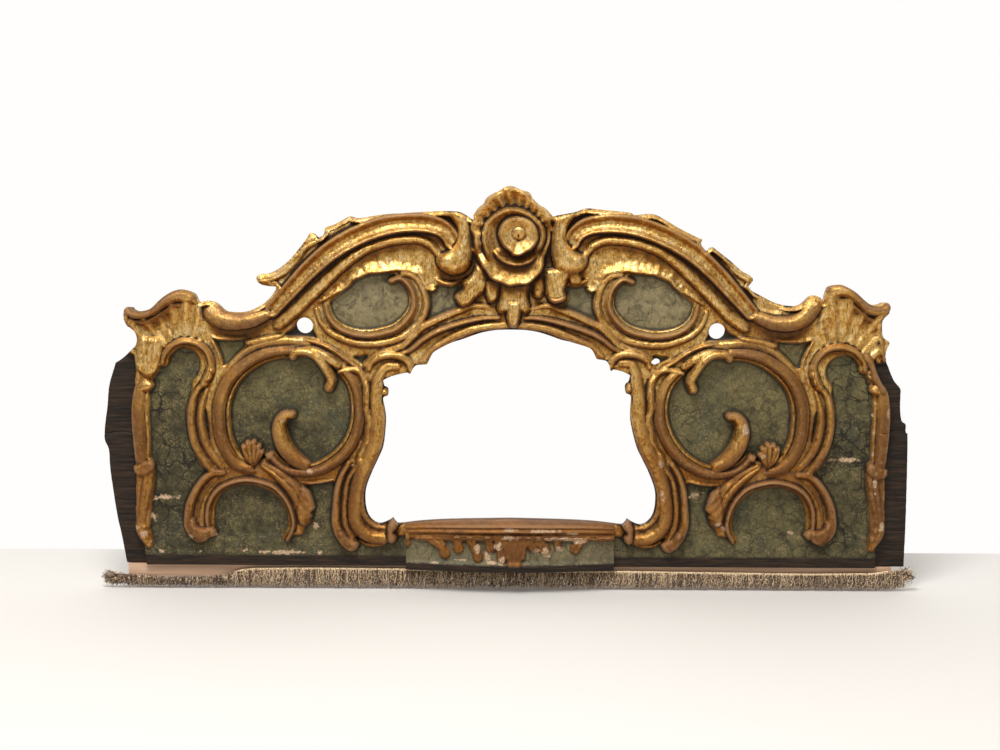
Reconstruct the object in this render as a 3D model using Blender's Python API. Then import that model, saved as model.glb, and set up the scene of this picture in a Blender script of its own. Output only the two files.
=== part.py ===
# Overdoor panel: boards carved in one with their scrolls, a bow-fronted sill, a batten and its fringe.
# Metres, +Z up. X runs along the panel, the carving faces -Y, and the origin is where the wall holds it.

import bpy
import bmesh
import math
import numpy as np

# Panel
PANEL_WIDTH = 1.608
PANEL_HEIGHT = 0.765
BOARD_THICKNESS = 0.035
MOUNT_HEIGHT = 0.600

# Carving: how far it stands proud of the boards, and how deep its roots go into them
RELIEF = 0.030
ROSETTE_RISE = 0.072
ROOT = 0.006

# Members whose half width in the drawing is up to this have a single ridge, and how long an edge's steps are
THIN = 9
EDGE_STEP = 32

# Drilled holes at the feet of the crest
HOLE_RADIUS = 0.016
HOLE_SIDES = 14

# Sill
SILL_LENGTH = 0.418
SILL_DROP = 0.006
SILL_DEPTH = 0.022
SILL_BOW = 0.028
SILL_STATIONS = 12

# Batten below the boards and the fringe nailed to its front
BATTEN_LENGTH = 1.542
BATTEN_HEIGHT = 0.026
BATTEN_DEPTH = 0.034
FRINGE_THICKNESS = 0.010
FRINGE_STATIONS = 36

GAP = 0.0003

# The drawing below is in thousandths of a metre at this size, from the middle of the boards' underside
DRAWN_WIDTH = 1608
DRAWN_HEIGHT = 765

# Edge of the boards, bottom to top, as smooth runs that meet at corners
LEFT_EDGE = (
    ((-775, 0), (-791, 95), (-802, 185), (-811, 262), (-799, 364), (-785, 409)),
    ((-785, 409), (-761, 432), (-740, 447), (-741, 474), (-756, 486)),
    ((-756, 486), (-761, 505), (-752, 522), (-722, 517), (-686, 540), (-648, 558), (-622, 550), (-611, 531)),
    ((-611, 531), (-592, 536), (-563, 518), (-527, 515), (-484, 533), (-461, 560)),
    ((-461, 563), (-486, 567), (-500, 581), (-471, 592), (-430, 622), (-404, 654), (-392, 670)),
    ((-392, 670), (-376, 662), (-345, 686), (-317, 703), (-245, 708), (-170, 713), (-112, 715), (-77, 700)),
    ((-75, 708), (-56, 730), (-40, 749), (-5, 765)),
)
RIGHT_EDGE = (
    ((797, 0), (795, 210), (792, 274)),
    ((788, 280), (786, 294), (777, 318), (774, 365), (750, 404), (738, 432)),
    ((738, 432), (745, 460), (731, 475), (727, 504), (740, 519)),
    ((740, 519), (736, 539), (704, 536), (671, 561), (638, 575), (615, 562), (611, 538)),
    ((611, 538), (594, 553), (571, 538), (540, 531), (491, 550), (463, 570)),
    ((472, 582), (430, 617), (396, 642), (379, 641), (369, 662)),
    ((369, 662), (322, 685), (286, 706), (235, 711), (174, 717), (140, 720), (78, 705)),
    ((76, 710), (52, 729), (35, 748), (-5, 765)),
)

# Edge of the opening, from the top down
LEFT_OPENING = (
    ((0, 482), (-61, 475), (-122, 454), (-150, 439), (-166, 414)),
    ((-166, 414), (-189, 410), (-207, 395), (-252, 382)),
    ((-252, 382), (-243, 362), (-253, 342), (-248, 293), (-263, 223), (-288, 162), (-286, 112), (-263, 88),
     (-243, 92), (-217, 86)),
    ((-217, 86), (-148, 94), (0, 98)),
)

# Members of the carving on the left: rise as a share of the relief, half widths at the start,
# the middle and the end, number of steps, and the line that the member follows
MEMBERS = {
    "ring_left": (0.85, (7, 11, 10), 11, (
        (-438, 432), (-484, 430), (-522, 411), (-566, 365), (-581, 293), (-571, 246), (-545, 208), (-519, 202))),
    "ring_right": (0.85, (8, 12, 9), 15, (
        (-430, 429), (-379, 429), (-330, 395), (-304, 344), (-304, 287), (-320, 246), (-353, 213), (-404, 200),
        (-450, 231), (-468, 275), (-450, 308), (-428, 311))),
    "ring_band": (0.5, (7, 11, 7), 5, ((-430, 458), (-485, 452), (-535, 420), (-572, 375))),
    "comma": (1.0, (9, 11, 5), 6, ((-432, 427), (-405, 432), (-380, 415), (-364, 385), (-366, 358))),
    "ring_foot": (0.6, (7, 9, 7), 3, ((-338, 180), (-379, 173), (-415, 180), (-440, 195))),
    "long_outer": (0.85, (4, 8, 6), 8, (
        (-612, 378), (-631, 340), (-636, 300), (-630, 255), (-612, 212), (-588, 192))),
    "long_inner": (0.6, (4, 7, 5), 6, ((-602, 362), (-618, 320), (-614, 270), (-596, 225), (-572, 198))),
    "shoe_outer": (0.75, (6, 9, 9), 7, (
        (-560, 192), (-599, 185), (-630, 160), (-646, 118), (-646, 75), (-630, 53))),
    "shoe_inner": (0.95, (6, 11, 7), 11, (
        (-604, 66), (-602, 110), (-580, 153), (-535, 171), (-490, 163), (-453, 134), (-438, 92), (-449, 55))),
    "shoe_band": (0.8, (5, 13, 5), 5, ((-475, 186), (-440, 172), (-412, 145), (-397, 112), (-408, 80))),
    "shoe_web": (0.45, (14, 20, 8), 4, ((-600, 180), (-545, 190), (-485, 192), (-430, 165))),
    "oval_inner": (0.95, (5, 9, 6), 10, (
        (-233, 577), (-204, 575), (-191, 536), (-205, 501), (-250, 475), (-302, 471), (-348, 490), (-364, 528))),
    "oval_outer": (0.75, (5, 9, 5), 9, (
        (-215, 592), (-180, 575), (-169, 530), (-192, 484), (-240, 458), (-302, 453), (-358, 474), (-383, 520))),
    "crest_web": (0.42, (30, 46, 20), 7, (
        (-112, 650), (-175, 650), (-260, 636), (-335, 588), (-400, 545), (-452, 510))),
    "crest_rim": (1.1, (12, 17, 12), 9, (
        (-98, 690), (-150, 700), (-205, 700), (-280, 683), (-353, 644), (-425, 592), (-474, 540))),
    "crest_hook": (1.0, (7, 9, 6), 10, (
        (-124, 638), (-142, 660), (-205, 674), (-280, 650), (-345, 603), (-430, 541))),
    "crest_lip": (0.8, (5, 7, 5), 9, (
        (-146, 628), (-170, 655), (-215, 662), (-286, 634), (-353, 585), (-417, 534), (-468, 497))),
    "crest_neck": (1.15, (10, 13, 9), 4, ((-100, 686), (-84, 660), (-88, 632), (-104, 610))),
    "crest_leaf": (0.6, (6, 15, 8), 6, ((-492, 577), (-440, 598), (-408, 640), (-350, 672), (-300, 697))),
    "crest_lobes": (0.6, (10, 20, 8), 5, ((-155, 588), (-210, 612), (-275, 604), (-340, 565), (-395, 530))),
    "tail_roll": (1.1, (12, 17, 12), 6, ((-464, 514), (-500, 499), (-548, 493), (-577, 506), (-590, 522))),
    "tail_lip": (0.6, (6, 9, 6), 6, ((-607, 481), (-570, 466), (-522, 466), (-480, 484), (-436, 512))),
    "rim_roll": (1.05, (8, 11, 12), 6, ((-752, 502), (-722, 505), (-694, 522), (-664, 542), (-636, 540))),
    "hook_outer": (0.9, (5, 9, 5), 8, (
        (-688, 412), (-680, 444), (-650, 462), (-617, 450), (-598, 420), (-603, 388), (-612, 372))),
    "hook_inner": (0.7, (4, 6, 4), 7, ((-668, 418), (-658, 441), (-630, 446), (-612, 418), (-625, 391))),
    "flange": (0.8, (7, 9, 5), 3, ((-605, 480), (-588, 446), (-577, 412))),
    "strip_upper": (0.7, (8, 13, 8), 5, ((-722, 380), (-734, 345), (-737, 290), (-735, 230), (-728, 192))),
    "strip_lower": (0.7, (7, 11, 8), 5, ((-715, 205), (-724, 155), (-738, 108), (-740, 72), (-725, 44))),
    "jamb": (0.9, (8, 10, 8), 12, (
        (-266, 392), (-266, 326), (-266, 275), (-284, 212), (-308, 145), (-314, 95), (-290, 68), (-252, 55))),
    "jamb_bead": (0.6, (4, 6, 5), 10, (
        (-256, 372), (-258, 300), (-266, 235), (-294, 165), (-296, 118), (-280, 90), (-250, 81))),
    "jamb_strand": (0.7, (5, 7, 5), 7, (
        (-340, 400), (-305, 396), (-283, 360), (-280, 295), (-296, 237), (-314, 205))),
    "foot": (0.95, (8, 12, 10), 8, (
        (-326, 212), (-343, 175), (-348, 120), (-343, 72), (-318, 39))),
    "corner_arch": (0.9, (6, 9, 6), 6, ((-202, 405), (-228, 426), (-258, 416), (-280, 382))),
    "arch_outer": (0.8, (6, 10, 8), 6, ((-284, 415), (-215, 448), (-174, 488), (-97, 519), (-36, 522))),
    "arch_ridge": (0.9, (7, 9, 9), 6, ((-190, 446), (-148, 477), (-90, 497), (-22, 504))),
    "arch_lip": (0.75, (8, 8, 8), 6, ((-176, 420), (-150, 452), (-97, 476), (-50, 488), (0, 491))),
    "leaf_side": (0.8, (8, 18, 12), 3, ((-56, 582), (-72, 560), (-100, 545))),
    "fan_1": (0.6, (5, 9, 4), 3, ((-742, 492), (-722, 450), (-728, 405))),
    "fan_2": (0.6, (5, 9, 4), 3, ((-716, 500), (-702, 465), (-704, 415))),
    "fan_3": (0.6, (6, 9, 4), 3, ((-690, 516), (-680, 490), (-684, 462))),
    "fan_4": (0.6, (6, 9, 4), 3, ((-662, 532), (-656, 505), (-652, 476))),
    "fan_5": (0.6, (6, 9, 4), 3, ((-632, 528), (-624, 500), (-616, 468))),
}

# Rounded ends and knobs on the left: place, half width, half height and rise
KNOBS = {
    "crest_head": (-113, 617, 29, 25, 1.35),
    "tail_end": (-590, 524, 13, 12, 1.2),
    "rim_end": (-633, 539, 15, 14, 1.25),
    "ring_end": (-519, 203, 12, 12, 1.0),
    "foot_end": (-317, 42, 14, 13, 1.1),
    "shoe_end": (-628, 52, 10, 10, 0.9),
    "lip_end": (-178, 418, 13, 12, 0.9),
    "jamb_end": (-241, 70, 9, 9, 0.9),
    "curl_left": (-42, 548, 13, 12, 1.2),
    "leaf_end": (-100, 545, 15, 15, 1.0),
}

# Where the right side, a mirror of the left, was carved differently: place, shift and reach
SHIFTS = (
    (640, 552, -2, 16, 70), (750, 505, -16, 14, 50), (655, 425, 16, -12, 55), (166, 418, 3, 12, 45),
    (250, 382, -14, 12, 45), (252, 318, -11, 0, 60), (407, 487, -2, -7, 40), (592, 528, 4, 14, 35),
)
HOLE_PLACES = ((-407, 487), (405, 480))


# A place in the drawing, as shares of the panel's own width and height
def place(x, z):
    return x / DRAWN_WIDTH * PANEL_WIDTH, z / DRAWN_HEIGHT * PANEL_HEIGHT - MOUNT_HEIGHT


def across(size):
    return size / DRAWN_WIDTH * PANEL_WIDTH


# A curve through the points, cut into equal steps of its length
def smooth(points, steps):
    knots = np.array(points, float)
    knots = np.vstack([2 * knots[0] - knots[1], knots, 2 * knots[-1] - knots[-2]])
    t = np.linspace(0, 1, 12, endpoint=False)[:, None]
    parts = []
    for a, b, c, d in zip(knots, knots[1:], knots[2:], knots[3:]):
        bend = 2 * a - 5 * b + 4 * c - d
        parts.append(0.5 * (2 * b + (c - a) * t + bend * t ** 2 + (3 * b - a - 3 * c + d) * t ** 3))
    curve = np.vstack(parts + [knots[-2:-1]])
    reach = np.r_[0, np.cumsum(np.linalg.norm(np.diff(curve, axis=0), axis=1))]
    stops = np.linspace(0, reach[-1], steps + 1)
    return np.column_stack([np.interp(stops, reach, curve[:, k]) for k in range(2)])


# The right side's copy of a line: mirrored, then moved by the nearest shifts
def right_hand(points):
    mirrored = np.array(points, float) * (-1, 1)
    moved = mirrored.copy()
    for x, z, dx, dz, reach in SHIFTS:
        near = np.exp(-((mirrored[:, 0] - x) ** 2 + (mirrored[:, 1] - z) ** 2) / reach ** 2)
        moved += near[:, None] * (dx, dz)
    return moved


def make_material(name, colour, roughness, metallic):
    material = bpy.data.materials.new(name)
    material.use_nodes = True
    shader = material.node_tree.nodes["Principled BSDF"]
    shader.inputs["Base Color"].default_value = (*colour, 1)
    shader.inputs["Roughness"].default_value = roughness
    shader.inputs["Metallic"].default_value = metallic
    material.diffuse_color = (*colour, 1)
    return material


def make_object(name, bm, material, collection):
    bmesh.ops.recalc_face_normals(bm, faces=bm.faces)
    mesh = bpy.data.meshes.new(name)
    bm.to_mesh(mesh)
    bm.free()
    mesh.materials.append(material)
    item = bpy.data.objects.new(name, mesh)
    collection.objects.link(item)
    return item


# Joins rows of points into a closed skin: each row is one section, capped at both ends
def skin(bm, rows):
    rings = [[bm.verts.new(point) for point in row] for row in rows]
    for first, second in zip(rings, rings[1:]):
        for i in range(len(first)):
            j = (i + 1) % len(first)
            bm.faces.new((first[i], first[j], second[j], second[i]))
    bm.faces.new(rings[0])
    bm.faces.new(rings[-1])


# A carved member: a ridged section carried along its line, rooted in the boards. Thin ones are a plain ridge
def sweep_member(bm, line, halves, rise):
    start, middle, end = halves
    count = len(line)
    heading = np.gradient(line, axis=0)
    heading /= np.linalg.norm(heading, axis=1)[:, None]
    side = np.column_stack([-heading[:, 1], heading[:, 0]])
    turn = np.linalg.norm(np.gradient(heading, axis=0), axis=1)
    step = np.linalg.norm(line[1] - line[0])
    rows = []
    for i in range(count):
        t = i / (count - 1)
        half = start * (1 - t) + end * t + (2 * middle - start - end) * 2 * t * (1 - t)
        half = min(half, 0.85 * step / max(turn[i], 0.001))
        height = rise * RELIEF * (0.7 + 0.3 * math.sin(math.pi * t))
        shoulders = ((-0.7, 0.72 * height), (0, height), (0.7, 0.72 * height))
        section = ((-1, -ROOT), *(shoulders if middle > THIN else shoulders[1:2]), (1, -ROOT))
        row = []
        for share, up in section:
            x, z = place(*(line[i] + side[i] * half * share))
            row.append((x, -BOARD_THICKNESS - up, z))
        rows.append(row)
    skin(bm, rows)


# A knob: rings of an oval that close over it, rooted in the boards
def sweep_knob(bm, centre, wide, high, rise, sides=8):
    levels = ((1, -ROOT), (1, 0.25 * rise), (0.72, 0.8 * rise), (0.25, rise))
    rows = []
    for share, up in levels:
        row = []
        for i in range(sides):
            angle = 2 * math.pi * i / sides
            x, z = place(centre[0] + wide * share * math.cos(angle), centre[1] + high * share * math.sin(angle))
            row.append((x, -BOARD_THICKNESS - up, z))
        rows.append(row)
    skin(bm, rows)


# Boards: the outline with its opening and the drilled holes, cut right through
def edge_loop(runs):
    loop = []
    for run in runs:
        length = np.linalg.norm(np.diff(np.array(run, float), axis=0), axis=1).sum()
        loop.extend(smooth(run, max(2, round(length / EDGE_STEP)))[:-1])
    return loop


def hole_loop(centre):
    x, z = place(*centre)
    turns = [2 * math.pi * i / HOLE_SIDES for i in range(HOLE_SIDES)]
    return [(x + HOLE_RADIUS * math.cos(a), z + HOLE_RADIUS * math.sin(a)) for a in turns]


def make_boards(material, collection):
    backwards = [tuple(reversed(run)) for run in reversed(RIGHT_EDGE)]
    outline = edge_loop(LEFT_EDGE) + edge_loop(backwards) + [np.array(RIGHT_EDGE[0][0], float)]
    right_opening = [right_hand(run) for run in LEFT_OPENING]
    rising = [run[::-1] for run in reversed(right_opening)]
    opening = edge_loop(LEFT_OPENING) + edge_loop(rising)
    loops = [[place(*point) for point in outline], [place(*point) for point in opening]]
    loops += [hole_loop(centre) for centre in HOLE_PLACES]
    bm = bmesh.new()
    edges = []
    for loop in loops:
        verts = [bm.verts.new((x, 0, z)) for x, z in loop]
        edges += [bm.edges.new((verts[i - 1], verts[i])) for i in range(len(verts))]
    bmesh.ops.triangle_fill(bm, use_beauty=True, edges=edges)
    front = bmesh.ops.extrude_face_region(bm, geom=bm.faces[:])["geom"]
    moved = [item for item in front if isinstance(item, bmesh.types.BMVert)]
    bmesh.ops.translate(bm, vec=(0, -BOARD_THICKNESS, 0), verts=moved)
    return make_object("carved_panel", bm, material, collection)


# Rosette: an outer ruffle, a ring of petals, an inner ring and a button
def add_rosette(bm, sides=18):
    levels = ((1.0, -ROOT, 1), (1.0, 0.42, 1), (0.9, 0.62, 1), (0.72, 0.46, 1), (0.6, 0.78, 0.6),
              (0.48, 0.56, 0.3), (0.38, 0.95, 0), (0.24, 0.74, 0), (0.15, 0.96, 0), (0.05, 1.0, 0))
    rows = []
    for share, up, ruffle in levels:
        row = []
        for i in range(sides):
            angle = 2 * math.pi * i / sides
            wave = 1 + 0.05 * ruffle * math.cos(5 * angle + 0.6)
            tall = 92 if math.sin(angle) > 0 else 94
            radius = share * wave
            x, z = place(74 * radius * math.cos(angle), 668 + tall * radius * math.sin(angle))
            height = up if up < 0 else up * ROSETTE_RISE
            row.append((x, -BOARD_THICKNESS - height, z))
        rows.append(row)
    skin(bm, rows)


# Leaves that hang below the rosette onto the arch
def add_leaf_drop(bm):
    for line, halves, rise in (
            (((0, 590), (2, 560), (4, 528), (3, 497)), (26, 30, 10), 1.0),
            (((46, 580), (52, 562), (50, 545)), (8, 9, 7), 1.1)):
        sweep_member(bm, smooth(line, 4), halves, rise)


def make_carving(material, collection):
    for name, (rise, halves, steps, points) in MEMBERS.items():
        bm = bmesh.new()
        sweep_member(bm, smooth(points, steps), halves, rise)
        sweep_member(bm, smooth(right_hand(points), steps), halves, rise)
        make_object("cut_" + name, bm, material, collection)
    bm = bmesh.new()
    for x, z, wide, high, rise in KNOBS.values():
        sweep_knob(bm, (x, z), wide, high, rise * RELIEF)
        sweep_knob(bm, right_hand([(x, z)])[0], wide, high, rise * RELIEF)
    make_object("cut_knobs", bm, material, collection)
    bm = bmesh.new()
    add_rosette(bm)
    make_object("cut_rosette", bm, material, collection)
    bm = bmesh.new()
    add_leaf_drop(bm)
    make_object("cut_leaf_drop", bm, material, collection)
    for item in collection.objects:
        item.hide_render = True
        item.display_type = "WIRE"


# Sill: a moulded section that bows forward in the middle, standing on the front of the boards
def make_sill(material, collection):
    top = place(0, 98)[1]
    foot = place(0, 0)[1] - SILL_DROP
    height = top - foot
    back = -BOARD_THICKNESS - GAP
    section = ((0, 0), (0.55, 0), (0.95, 0.05), (1.0, 0.2), (0.72, 0.26), (0.66, 0.66), (0.9, 0.72),
               (0.82, 0.8), (1.0, 0.86), (0.7, 0.95), (0, 1))
    bm = bmesh.new()
    rows = []
    for i in range(SILL_STATIONS + 1):
        share = 2 * i / SILL_STATIONS - 1
        depth = SILL_DEPTH + SILL_BOW * (1 - share ** 2)
        rows.append([(share * SILL_LENGTH / 2, back - out * depth, foot + up * height) for out, up in section])
    skin(bm, rows)
    return make_object("sill", bm, material, collection)


# Garland of leaves across the sill's face
def add_garland(material, collection):
    back = -BOARD_THICKNESS - GAP
    lobes = ((-190, 58, 16, 8), (-156, 60, 16, 8), (-129, 44, 12, 16), (-100, 48, 12, 9), (-66, 42, 15, 18),
             (-38, 47, 11, 9), (4, 36, 22, 29), (45, 49, 12, 10), (73, 39, 14, 13), (100, 50, 9, 7),
             (130, 45, 11, 11), (172, 58, 20, 8))
    bm = bmesh.new()
    for x, z, wide, high in lobes:
        share = 2 * across(x) / SILL_LENGTH
        depth = SILL_DEPTH + SILL_BOW * (1 - share ** 2)
        rows = []
        for size, out in ((1, 0.4), (1, 0.8), (0.6, 1.02)):
            row = []
            for k in range(8):
                angle = math.pi * k / 4
                px, pz = place(x + wide * size * math.cos(angle), z + high * size * math.sin(angle))
                row.append((px, back - out * depth, pz))
            rows.append(row)
        skin(bm, rows)
    item = make_object("cut_garland", bm, material, collection)
    item.hide_render = True
    item.display_type = "WIRE"
    return item


def join_carving(body, collection=None, operand=None):
    union = body.modifiers.new("carving", "BOOLEAN")
    union.operation = "UNION"
    union.solver = "EXACT"
    if collection:
        union.operand_type = "COLLECTION"
        union.collection = collection
    else:
        union.object = operand


# Batten: a plain softwood strip under the boards, flush with their back
def make_batten(material, collection):
    foot = place(0, 0)[1]
    bm = bmesh.new()
    bmesh.ops.create_cube(bm, size=1)
    bmesh.ops.scale(bm, vec=(BATTEN_LENGTH, BATTEN_DEPTH, BATTEN_HEIGHT), verts=bm.verts)
    bmesh.ops.translate(bm, vec=(0, -BATTEN_DEPTH / 2, foot - GAP - BATTEN_HEIGHT / 2), verts=bm.verts)
    return make_object("fringe_batten", bm, material, collection)


# Fringe: a thick soft strip along the batten's front, loose and lower at the left, curled at its ends
def make_fringe(material, collection):
    under = place(0, 0)[1]
    sill_foot = under - SILL_DROP - GAP
    front = -BATTEN_DEPTH - GAP
    heads = smooth(((-812, -24), (-785, -20), (-700, -26), (-600, -24), (-540, -10), (-400, -7), (-230, -9),
                    (0, -14), (230, -12), (400, -14), (600, -16), (740, -13), (775, -4), (805, -8)),
                   FRINGE_STATIONS)
    bm = bmesh.new()
    rows = []
    for x, head in heads:
        px = across(x)
        top = under + head / 1000
        if abs(px) < SILL_LENGTH / 2 + 0.02:
            top = min(top, sill_foot - 0.002)
        end = max(0, (abs(x) - 760) / 50)
        foot = under - 0.043 + 0.004 * end + 0.002 * math.sin(x / 21)
        thick = FRINGE_THICKNESS * (1 + 0.3 * math.sin(x / 37))
        rows.append([(px, front, top), (px, front, foot), (px, front - thick, foot),
                     (px, front - 0.7 * thick, top)])
    skin(bm, rows)
    return make_object("fringe", bm, material, collection)


def build():
    for item in list(bpy.data.objects):
        bpy.data.objects.remove(item, do_unlink=True)
    shown = bpy.context.scene.collection
    hidden = bpy.data.collections.new("carving")
    shown.children.link(hidden)
    gilt = make_material("gilt_wood", (0.48, 0.27, 0.08), 0.42, 0.5)
    painted = make_material("painted_sill", (0.10, 0.10, 0.055), 0.5, 0)
    softwood = make_material("softwood", (0.58, 0.40, 0.27), 0.7, 0)
    textile = make_material("fringe_thread", (0.24, 0.17, 0.11), 0.9, 0)
    boards = make_boards(gilt, shown)
    make_carving(gilt, hidden)
    join_carving(boards, collection=hidden)
    sill = make_sill(painted, shown)
    garland = add_garland(painted, shown)
    join_carving(sill, operand=garland)
    make_batten(softwood, shown)
    make_fringe(textile, shown)


build()
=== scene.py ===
# Overdoor panel: carved and gilded boards, bowed sill, batten and fringe
import bpy
import math
import numpy as np
from mathutils import Matrix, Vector
from mathutils.geometry import delaunay_2d_cdt


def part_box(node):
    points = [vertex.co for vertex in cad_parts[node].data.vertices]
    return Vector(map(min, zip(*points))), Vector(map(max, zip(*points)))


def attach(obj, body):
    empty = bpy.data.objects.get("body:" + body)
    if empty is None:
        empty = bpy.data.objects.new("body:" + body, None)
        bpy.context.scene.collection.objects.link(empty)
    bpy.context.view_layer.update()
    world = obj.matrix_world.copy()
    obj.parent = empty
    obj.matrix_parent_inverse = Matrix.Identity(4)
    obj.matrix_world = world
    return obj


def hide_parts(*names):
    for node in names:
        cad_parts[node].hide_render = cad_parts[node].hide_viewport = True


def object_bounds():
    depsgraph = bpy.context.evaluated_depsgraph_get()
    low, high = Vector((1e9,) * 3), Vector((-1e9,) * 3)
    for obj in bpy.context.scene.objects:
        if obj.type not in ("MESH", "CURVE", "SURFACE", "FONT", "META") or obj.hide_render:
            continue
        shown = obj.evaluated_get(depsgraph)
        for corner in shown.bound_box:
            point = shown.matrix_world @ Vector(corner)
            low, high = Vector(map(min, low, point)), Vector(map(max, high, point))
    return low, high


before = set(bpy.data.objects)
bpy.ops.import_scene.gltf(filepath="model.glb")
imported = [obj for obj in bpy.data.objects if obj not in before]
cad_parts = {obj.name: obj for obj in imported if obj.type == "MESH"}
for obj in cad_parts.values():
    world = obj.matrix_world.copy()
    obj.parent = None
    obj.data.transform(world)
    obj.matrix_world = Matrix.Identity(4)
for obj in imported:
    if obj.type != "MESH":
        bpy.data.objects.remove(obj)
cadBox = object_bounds()
panelLow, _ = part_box("carved_panel")
print("frame loaded")

# The drawing is in millimetres: x from the panel's middle, z from the boards' underside, height out of them
boards = {"thick": 35.0, "foot": panelLow[2], "wide": (-812.0, 799.0), "tall": (0.0, 766.0), "step": 1.6,
          "fullness": 1.16, "tuck": 8.0}

camera = {"lens": 60.12, "sideways": -0.022, "away": 3.301, "up": 0.936, "tiltDeg": 9.5, "rollDeg": 0.30}

leftEdge = (
    ((-775, 0), (-784, 57), (-791, 95), (-802, 185), (-804, 232), (-811, 252), (-811, 275), (-804, 323),
     (-799, 364), (-785, 409)),
    ((-785, 409), (-770, 419), (-749, 438), (-740, 447), (-737, 460), (-741, 476), (-756, 486)),
    ((-756, 486), (-761, 500), (-759, 517), (-752, 524), (-740, 517), (-722, 517), (-704, 523), (-686, 540),
     (-666, 554), (-645, 559), (-622, 550), (-613, 532)),
    ((-613, 532), (-599, 536), (-586, 535), (-576, 530), (-563, 518), (-548, 515), (-527, 515), (-507, 520),
     (-484, 533), (-470, 547), (-461, 560)),
    ((-461, 565), (-475, 565), (-492, 569), (-500, 580), (-494, 588), (-471, 592), (-450, 604), (-430, 622),
     (-404, 654), (-394, 670)),
    ((-394, 670), (-385, 669), (-376, 661)),
    ((-376, 661), (-366, 668), (-363, 680), (-343, 688), (-317, 703)),
    ((-317, 703), (-297, 700), (-271, 704), (-245, 708), (-199, 711), (-148, 714), (-112, 715), (-97, 712),
     (-76, 699)),
    ((-75, 708), (-66, 722), (-56, 730), (-49, 742), (-37, 750), (-24, 756), (-16, 762), (-5, 765)),
)
rightEdge = (
    ((797, 0), (797, 95), (795, 210), (793, 274)),
    ((789, 279), (788, 293), (780, 300), (776, 323), (775, 351), (774, 365), (761, 381), (750, 404),
     (738, 432)),
    ((738, 432), (740, 447), (745, 460), (731, 471), (728, 488), (728, 506), (740, 519)),
    ((740, 519), (741, 532), (735, 540), (720, 537), (704, 536), (689, 545), (671, 561), (650, 573),
     (638, 575), (622, 571), (614, 556), (611, 537)),
    ((611, 537), (604, 549), (591, 553), (583, 550), (571, 538), (556, 532), (538, 532), (515, 538),
     (491, 550), (471, 561), (463, 570)),
    ((463, 570), (472, 582), (466, 591), (450, 600), (430, 617), (399, 641), (389, 647), (379, 640),
     (368, 652), (370, 662)),
    ((370, 662), (358, 667), (322, 685), (286, 706), (266, 711), (237, 709), (230, 713), (204, 716),
     (156, 720), (140, 720), (125, 715), (102, 711), (79, 706)),
    ((76, 709), (65, 721), (52, 729), (39, 742), (33, 752), (18, 757), (5, 763), (-5, 765)),
)
leftOpening = (
    ((0, 482), (-30, 481), (-61, 475), (-97, 462), (-122, 454), (-150, 439), (-158, 429), (-166, 412)),
    ((-166, 412), (-189, 409), (-200, 393), (-207, 395), (-235, 388), (-253, 380)),
    ((-253, 380), (-250, 367), (-243, 362), (-244, 349), (-253, 344), (-249, 318), (-248, 293), (-253, 249),
     (-263, 223), (-276, 195), (-288, 162), (-290, 134), (-286, 110), (-276, 93), (-263, 86), (-245, 93),
     (-236, 98), (-225, 86)),
    ((-225, 86), (-186, 91), (-148, 94), (-97, 96), (0, 98)),
)
drilledHoles = ((-407, 487, 16), (405, 480, 16))
piercings = ((285, 419, 9, 5),)  # carved right through: place, half width, half height

# Where the right side departs from a mirror of the left: place, shift and reach
rightShifts = (
    (640, 552, -2, 16, 70), (750, 505, -16, 14, 50), (655, 425, 16, -12, 55), (166, 418, 3, 12, 45),
    (250, 382, -14, 12, 45), (252, 318, -11, 0, 60), (407, 487, -2, -7, 40), (592, 528, 4, 14, 35),
)

# Cross-sections of the carved members: place across (-1 outer side, 0 crest, 1 inner side), share of the rise
sections = {
    "roll": ((-1, 0), (-.96, .45), (-.84, .76), (-.55, .94), (-.1, 1), (.35, .96), (.72, .76), (.93, .42),
             (1, 0)),
    "beaded": ((-1, 0), (-.92, .5), (-.78, .66), (-.6, .6), (-.35, .9), (0, 1), (.3, .88), (.52, .5),
               (.64, .28), (.78, .42), (.9, .36), (1, 0)),
    "skirt": ((-1, 0), (-.9, .5), (-.6, .88), (0, 1), (.08, .93), (.2, .68), (.4, .42), (.6, .27), (.8, .2),
              (1, 0)),
    "sharp": ((-1, 0), (-.8, .35), (-.4, .72), (-.1, 1), (.1, .97), (.4, .6), (.75, .3), (1, 0)),
    "leaf": ((-1, 0), (-.92, .45), (-.6, .85), (-.25, 1), (0, .78), (.25, .97), (.6, .8), (.92, .4), (1, 0)),
    "band": ((-1, 0), (-.97, .45), (-.88, .9), (-.74, 1), (-.6, .9), (-.35, .7), (0, .62), (.3, .66),
             (.55, .82), (.75, .95), (.9, .86), (.97, .5), (1, 0)),
    "ring": ((-1, 0), (-.96, .5), (-.87, .78), (-.74, .74), (-.45, .94), (-.1, 1), (.2, .92), (.42, .66),
             (.5, .46), (.6, .5), (.72, .62), (.85, .52), (.95, .25), (1, 0)),
    "lip": ((-1, 0), (-.85, .5), (-.5, .8), (0, 1), (.5, .97), (.82, .84), (.95, .5), (1, 0)),
    "cove": ((-1, 0), (-.7, .75), (0, 1), (.04, .97), (.12, .8), (.3, .6), (.55, .42), (.8, .3), (1, .28)),
}

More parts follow.
